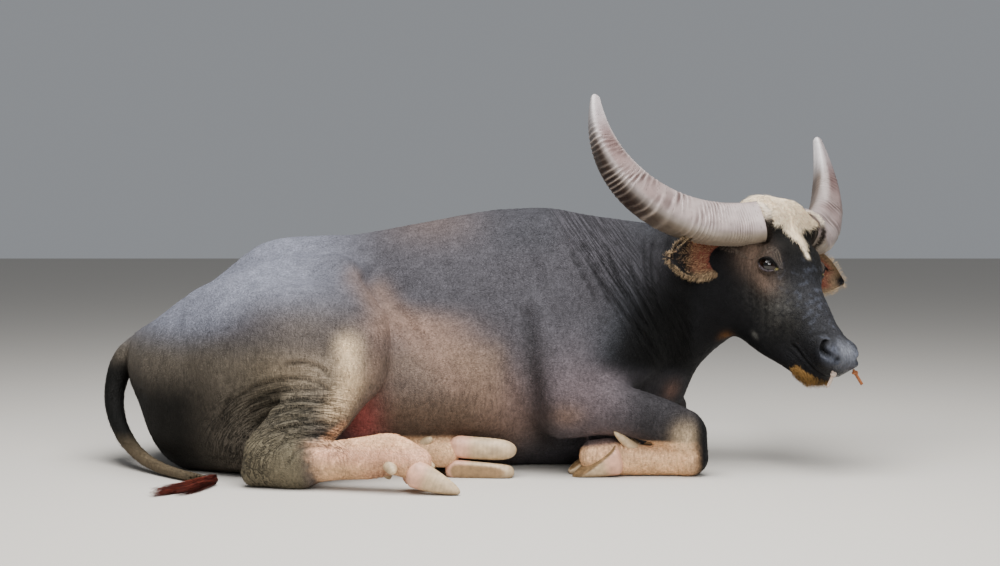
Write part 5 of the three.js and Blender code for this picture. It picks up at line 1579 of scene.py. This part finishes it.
# %% [markdown]
# ## Tufts
# The coat is solid: every tuft is a thin closed spike of three sides that bends down onto the hide. Its
# baking map OFBake puts each tuft on a small patch of a sheet, where its root lies when the skin is
# unrolled part by part.


# %% Tufts
PATCH = 0.003  # how wide a tuft's patch is on the unrolled sheet, whose width is 1


def unrolled(where):
    """Unrolls the skin into tiles from 0 to 1: the angle round a part goes across, and its length goes up."""
    x, y, z = on_body(where).T
    l, f, n = on_head(where).T
    angle = np.arctan2(y, z - 300)
    low, tall, tile = -1080, 1750, np.zeros(len(where), int)
    along = x
    parts = [
        ((f > -60) & (np.abs(l) < 400) & (x > 540), np.arctan2(l, n + 90), f, -60, 560),
        ((y < -330) & (x < -150) & (z < 200), np.arctan2(y + 490, z - 60), x, -680, 620),
        ((y < -120) & (y > -290) & (x > -330) & (x < 60) & (z < 110), np.arctan2(y + 200, z - 50), x,
         -330, 400),
        ((y < -120) & (x > 200) & (z < 250), np.arctan2(y + 200, z - 100), x, 200, 400),
        ((y > 290) & (x > 200) & (z < 250), np.arctan2(y - 370, z - 100), x, 200, 400),
        ((x < -890) | ((z < 60) & (x < -600) & (y < -60)), np.arctan2(x + 960, y + 100), z + y, -400, 800),
    ]
    start, size = np.full(len(where), float(low)), np.full(len(where), float(tall))
    for number, (here, turn, length, first, span) in enumerate(parts):
        angle, along = np.where(here, turn, angle), np.where(here, length, along)
        start, size = np.where(here, first, start), np.where(here, span, size)
        tile = np.where(here, number + 1, tile)
    across = angle / (2 * np.pi) + 0.5
    up = ((along - start) / size).clip(0, 1)
    column, row = (tile - 1) % 2, (tile - 1) // 2
    u = np.where(tile == 0, 0.01 + 0.48 * across, 0.51 + 0.24 * (column + 0.96 * across))
    v = np.where(tile == 0, 0.01 + 0.97 * up, 0.01 + 0.33 * (row + 0.94 * up))
    return np.stack([u, v], axis=1)


def scattered(count, weight):
    """Random places on the skin, as many per area as the weight says: (1 - √r)a + √r(1 - s)b + √r·s·c."""
    a, b, c = (points[triangles[:, n]] for n in range(3))
    chance = np.linalg.norm(np.cross(b - a, c - a), axis=1) * weight.astype(float)[triangles].mean(axis=1)
    pick = random.choice(len(triangles), count, p=chance / chance.sum())
    r, t = np.sqrt(random.random((count, 1))), random.random((count, 1))
    mix = np.stack([1 - r, r * (1 - t), r * t])
    root = sum(m * corner[pick] for m, corner in zip(mix, (a, b, c)))
    return root, unit(sum(m * normals[triangles[pick, n]] for n, m in enumerate(mix)))


def laid_flat(way, out):
    """Directions laid flat on the skin, w - n(w·n), and made 1 long."""
    return unit(way - out * (way * out).sum(axis=1, keepdims=True))


def lie_of_coat(where, out):
    """Direction of the hairs on the skin: back and down the trunk, down the legs, and down the face."""
    x, y, z = on_body(where).T
    l, f, _ = on_head(where).T
    way = np.tile([-0.7, 0.0, -0.7], (len(where), 1))
    zones = [
        (x > 330, (-0.35, 0, -0.95)),
        ((y < -250) & (x < -250) & (z > 150), (0.25, 0, -0.95)),
        ((y < -150) & (x < 0) & (z < 150), (1, -0.15, -0.2)),
        ((np.abs(y - 86) > 220) & (x > 150) & (z < 260), (0.9, 0, -0.3)),
        ((np.abs(y - 86) > 220) & (x > 200) & (z < 100), (-1, 0, 0)),
        ((x < -890) & (z > 70), (-0.2, -0.1, -1)),
        ((x < -640) & (z < 70) & (y < -60), (0.6, -0.8, 0)),
    ]
    for here, direction in zones:
        way[here] = direction
    head = (f > -40) & (x > 540)
    down_face = HEAD_AXES[1] + 0.45 * np.sign(l)[:, None] * HEAD_AXES[0] - 0.25 * HEAD_AXES[2]
    way[head] = down_face[head]
    ears = head & (np.abs(l) > 128)
    way[ears] = (np.sign(l)[:, None] * HEAD_AXES[0])[ears]
    return laid_flat(way, out)


TUFT_FACES = np.array([(0, 1, 2), (0, 4, 1), (0, 3, 4), (1, 5, 2), (1, 4, 5), (2, 3, 0), (2, 5, 3),
                       (3, 6, 4), (4, 6, 5), (5, 6, 3)])
TUFT_SHADES = np.array([0.8] * 3 + [1.0] * 3 + [1.15])


def tufts(root, out, way, length, width, lift, colour, fray=0.25):
    """Spikes: a ring of three at the root, one at the middle, and a tip: root + way·length + out·lift."""
    count = len(root)
    across = np.cross(out, way)
    way = way + across * random.normal(0, fray, (count, 1)) + out * random.normal(0, 0.05, (count, 1))
    length = length * random.uniform(0.7, 1.25, (count, 1))
    ring = [across, -0.5 * across + 0.6 * out, -0.5 * across - 0.6 * out]
    base = root - out * 0.4 * width
    middle = root + way * length * 0.5 + out * lift * 0.8
    tip = root + way * length + out * lift * random.uniform(0.4, 1.2, (count, 1))
    made = np.stack([base + r * width for r in ring] + [middle + r * width * 0.75 for r in ring] + [tip],
                    axis=1)
    faces = (TUFT_FACES[None] + 7 * np.arange(count)[:, None, None]).reshape(-1, 3)
    turn = np.arange(3) * 2 * np.pi / 3
    corner = np.stack([np.cos(turn), np.sin(turn)], axis=1) * PATCH / 2
    patch = unrolled(root)[:, None] + np.vstack([corner, corner * 0.5, [[0, 0]]])[None]
    colours = colour[:, None] * random.uniform(0.82, 1.18, (count, 1, 1)) * TUFT_SHADES[None, :, None]
    return made.reshape(-1, 3), faces, colours.reshape(-1, 3), patch.reshape(-1, 2)


def outward(made, faces):
    """The faces turned to point outwards, so that the sum of a·(b × c)/6 over them is positive."""
    a, b, c = (made[faces[:, n]] - made[faces[:, 0]].mean(axis=0) for n in range(3))
    return faces if (a * np.cross(b, c)).sum() >= 0 else faces[:, ::-1]


def coat_piece(name, parts):
    """Some sets of tufts as one piece."""
    made, faces = stacked([part[:2] for part in parts])
    faces = outward(made, faces)
    made[:, 2] = np.maximum(made[:, 2], 0.5 * MM)
    piece = new_mesh(name, made, faces, np.vstack([part[2] for part in parts]),
                     np.vstack([part[3] for part in parts]))
    finish_piece(piece, hair)


# Hair takes the colour of the hide below it and has little shine, so the coat shows as a pale nap where
# light grazes it. The colour varies softly every 5 mm.
hair, shader = new_material("short coarse hair")
strands = add(hair, "TexNoise", {"Vector": add(hair, "TexCoord").outputs["Object"], "Scale": 190.0,
                                 "Detail": 2.0})
colour = add(hair, "VertexColor", layer_name="markings").outputs["Color"]
colour = toned(hair, colour, strands.outputs["Fac"], (0.3, 0.7), (0.85, 1.15))
fill(hair, shader, {"Base Color": colour, "Roughness": 0.6, "Specular IOR Level": 0.12})
print("one tuft has", len(TUFT_FACES), "triangles")

# %% [markdown]
# ## Coat of the body
# A buffalo's hair is sparse: short single hairs that lie back over the hide and show as a faint pale nap
# on the flanks, thighs and shoulders. They are spread evenly over both sides.

# %% Coat of the body
x, y, z = on_body(points).T
l, f, n = on_head(points).T
on_floor = z < 3
is_head = (f > -30) & (x > 560) & (z > 230)
is_ear = np.any([near_leaf(ear_place(points, ear), 0.04, 1.1, 10 * MM, 12 * MM) for ear in EARS.values()],
                axis=0)
is_near_foot, is_far_foot = (y < -300) & (x > -450) & (x < -100), (y < -150) & (x > -330) & (x < 0)
is_fore_foot = (np.abs(y - 86) > 220) & (x > 210)
is_foot = (z < 118) & (is_near_foot | is_far_foot | is_fore_foot)
is_tail = (x < -890) | ((z < 60) & (x < -640) & (y < -60))
is_trunk = ~is_head & ~is_foot & ~is_tail & ~on_floor
# Each part of the coat: its slot, how many tufts grow where, their length, half width and lift in
# millimetres, and how much paler they are than the hide.
COATS = {
    "near_side": ("slate_skin", 19500, is_trunk & (y < -60) & (x < 330), 11, 0.38, 0.8, 1.7),
    "far_side": ("slate_skin", 19000, is_trunk & (y > -60) & (x < 330), 11, 0.38, 0.8, 1.7),
    "neck": ("black_skin", 13000, is_trunk & (x > 330), 10, 0.34, 0.8, 1.7),
    "legs": ("cream_skin", 12000, is_foot & ~on_floor, 9, 0.35, 0.8, 1.25),
    "tail": ("slate_skin", 4000, is_tail & ~on_floor, 12, 0.4, 1.4, 1.2),
    "face": ("black_skin", 14000, is_head & ~is_ear & (f < 400), 6, 0.3, 0.7, 1.9),
}
for name, (slot, count, weight, length, width, lift, paler) in COATS.items():
    root, out = scattered(count, weight)
    way = lie_of_coat(root, out)
    colour = markings(root) * paler
    coat_piece(f"coat_{name}", [tufts(root, out, way, length * MM, width * MM, lift * MM, colour)])

# %% [markdown]
# ## Long hair of the head
# Longer cream hair covers the crown and runs out over the bases of the horns. Stiff hairs fringe the ears
# and fill their hollows, the chin has a short tan beard, and each upper lid carries lashes.

# %% Long hair of the head
FRINGE_HAIRS, FRINGE_INSIDE_MM, FRINGE_RADIUS_MM = 900, 12, (48, 55)
crown = ramp(poll_edge(np.abs(l), f, n), 0, 6) * (f > -80) * (x > 560) * (z > 230) * ~is_ear
root, out = scattered(9000, crown)
beside = on_head(root)[:, :1]
spread = np.sign(beside) * ramp(np.abs(beside), 30, 90) * HEAD_AXES[0]
way = laid_flat(lie_of_coat(root, out) * 0.6 + spread * 0.8, out)
cream = plain("#ffeed2", len(root)) * random.uniform(0.85, 1.1, (len(root), 1))
crown_parts = [tufts(root, out, way, 22 * MM, 0.7 * MM, 3 * MM, cream, 0.35)]
for mirror in (1, -1):
    base, next_to = head_point((mirror * 96, 44, 8)), head_point((mirror * 150, 35, -12))
    ahead = (next_to - base) / np.linalg.norm(next_to - base)
    angle = random.uniform(0, 2 * np.pi, FRINGE_HAIRS)[:, None]
    up = HEAD_AXES[2] - ahead * (HEAD_AXES[2] @ ahead)
    up /= np.linalg.norm(up)
    radial = np.cos(angle) * up + np.sin(angle) * np.cross(ahead, up)
    from_axis = random.uniform(*FRINGE_RADIUS_MM, (FRINGE_HAIRS, 1)) * MM
    root = base + radial * from_axis - ahead * random.uniform(0, FRINGE_INSIDE_MM, (FRINGE_HAIRS, 1)) * MM
    way = unit(ahead + 0.14 * radial)
    colour = blend_to(plain("#fff0dc", FRINGE_HAIRS), "#2a221c", ramp(on_head(root)[:, 1] - 44, 5, 30))
    crown_parts.append(tufts(root, radial, way, 24 * MM, 0.6 * MM, 2 * MM, colour, 0.3))
coat_piece("coat_crown", crown_parts)

ear_parts = []
for ear in EARS.values():
    ear_root, along, across, facing = ear_frame(ear)
    u, v, width, height = ear_place(points, ear)
    here = is_ear & near_leaf((u, v, width, height), 0.05, 1.06, 10 * MM, 12 * MM)
    in_edge = np.abs(v) / width
    for weight, count, length, lean, code in (
        (here & (in_edge > 0.86), 1400, 14, 0.9, "#c4a985"),
        (here & (in_edge < 0.86) & (height > 0), 1000, 14, 0.35, "#b99672"),
        (here & (height < 0), 900, 9, 0.15, "#3c352f"),
    ):
        root, out = scattered(count, weight)
        side_of_root = np.sign((root - ear_root) @ across)[:, None]
        way = unit(along + lean * side_of_root * across + 0.3 * facing * (lean > 0.5))
        ear_parts.append(tufts(root, out, way, length * MM, 0.5 * MM, 3 * MM, plain(code, count), 0.35))
coat_piece("coat_ears", ear_parts)

root, out = scattered(1500, ramp(-n - 0.3 * (453 - f), 112, 124) * ramp(f, 380, 400) * is_head)
way = unit(lie_of_coat(root, out) * 0.5 + np.array([0.15, 0, -0.8]))
beard = plain("#866639", len(root)) * random.uniform(0.75, 1.25, (len(root), 1))
coat_piece("coat_chin", [tufts(root, out, way, 14 * MM, 0.5 * MM, 2 * MM, beard, 0.3)])

LASHES = 260
lash_parts = []
for sign in (1, -1):
    centre, gaze, inner, up = eye_axes(sign)
    a = random.uniform(-22, 20, LASHES)
    arch = UPPER_LID * np.clip(1 - (a / EYE_HALF_LENGTH) ** 2, 0, 1) ** 0.7 - 2.5 * a / EYE_HALF_LENGTH
    rim = arch + random.uniform(0.5, 2.5, LASHES)
    on_ball = np.tan(a / EYE_RADIUS_MM)[:, None] * inner + np.tan(rim / EYE_RADIUS_MM)[:, None] * up
    root = centre + unit(gaze + on_ball) * (EYE_RADIUS_MM + 2.5) * MM
    way = unit(gaze * 0.9 - up * 0.45 + (a / 24)[:, None] * inner * 0.5)
    lash_parts.append(tufts(root, up + 0 * root, way, 13 * MM, 0.35 * MM, -1 * MM, plain("#0c0908", LASHES),
                            0.15))
coat_piece("lashes", lash_parts)

# %% [markdown]
# ## Switch of the tail
# The tail ends in a lock of long coarse maroon hair, which fans out flat over the floor. Each hair is a
# thin tube on its own slightly waved path.

# %% Switch of the tail
SWITCH_PATH = np.array([(-715, -440, 13), (-735, -490, 14), (-765, -545, 12), (-800, -600, 9),
                        (-832, -640, 6)], float)
SWITCH_WIDTH = np.array([8, 17, 28, 30, 20], float)
SWITCH_HAIRS, SWITCH_RINGS, SWITCH_LOCKS = 1300, 10, 13
SWITCH_ACROSS, SWITCH_UP = np.array([0.848, -0.53, 0]), np.array([0, 0, 1.0])
SWITCH_HUES = ("#3d1613", "#571f18", "#763626", "#240f0d")
SWITCH_HALF_WIDTH = 0.6 * MM


def switch_hairs():
    """Hair paths: that of the lock, plus a place across it that fans out and waves as a·sin(2πsf + p)."""
    s = np.linspace(0, 1, SWITCH_RINGS)
    across = random.uniform(-1, 1, (SWITCH_HAIRS, 1))
    up = random.uniform(-0.8, 1, (SWITCH_HAIRS, 1))
    lock = np.floor((across[:, 0] + 1) * 0.4999 * SWITCH_LOCKS).astype(int)
    lock_bend = random.normal(0, 13, (SWITCH_LOCKS, 1))
    lock_reach = random.uniform(0.5, 1.0, (SWITCH_LOCKS, 1))
    s = s[None] * random.uniform(0.75, 1.05, (SWITCH_HAIRS, 1)) * lock_reach[lock]
    centre = np.stack([np.interp(s * 4, range(5), SWITCH_PATH[:, k]) for k in range(3)], axis=-1)
    stray = random.normal(0, 1, (SWITCH_HAIRS, 1))
    turns, phase = random.uniform(0.8, 2, (SWITCH_HAIRS, 1)), random.uniform(0, 6, (SWITCH_HAIRS, 1))
    fan = np.interp(s * 4, range(5), SWITCH_WIDTH) * across + lock_bend[lock] * s**2
    fan += 4 * s * stray + 4 * np.sin(2 * np.pi * s * turns + phase)
    centre += fan[..., None] * SWITCH_ACROSS
    centre[..., 2] += up * (9 + 5 * np.sin(6 * s + 5 * across))
    centre[..., 2] = np.maximum(centre[..., 2], 1.6)
    return centre * MM + SHIFT


def hair_tubes(paths):
    """A tube of three sides along each path, thinner to its tip, with a triangle over each end."""
    turn = np.arange(3) * 2 * np.pi / 3
    thick = SWITCH_HALF_WIDTH * np.linspace(1, 0.25, SWITCH_RINGS)[None, :, None, None]
    ring = np.cos(turn)[:, None] * SWITCH_ACROSS + np.sin(turn)[:, None] * SWITCH_UP
    one = np.arange(SWITCH_RINGS * 3).reshape(SWITCH_RINGS, 3)
    a, b, c, d = one[:-1], np.roll(one[:-1], -1, 1), np.roll(one[1:], -1, 1), one[1:]
    faces = np.vstack([np.stack([a, b, c], -1).reshape(-1, 3), np.stack([a, c, d], -1).reshape(-1, 3),
                       one[:1, ::-1], one[-1:]])
    faces = faces[None] + 3 * SWITCH_RINGS * np.arange(len(paths))[:, None, None]
    return (paths[:, :, None] + thick * ring).reshape(-1, 3), faces.reshape(-1, 3)


paths = switch_hairs()
hair_points, hair_faces = hair_tubes(paths)
hues = np.array([linear(code) for code in SWITCH_HUES])
per_hair = hues[random.integers(0, len(hues), SWITCH_HAIRS)] * random.uniform(0.8, 1.2, (SWITCH_HAIRS, 1))
along_patch = np.tile(np.repeat(np.linspace(-0.5, 0.5, SWITCH_RINGS), 3), SWITCH_HAIRS)[:, None] * [0, PATCH]
across_patch = np.tile([-0.5, 0.0, 0.5], SWITCH_RINGS * SWITCH_HAIRS)[:, None] * [PATCH, 0]
points_each = 3 * SWITCH_RINGS
patch = np.repeat(unrolled(paths[:, 0]), points_each, axis=0) + along_patch + across_patch
piece = new_mesh("tail_switch_hair", hair_points, outward(hair_points, hair_faces),
                 np.repeat(per_hair, points_each, axis=0), patch)
finish_piece(piece, hair, ["tail_switch"])
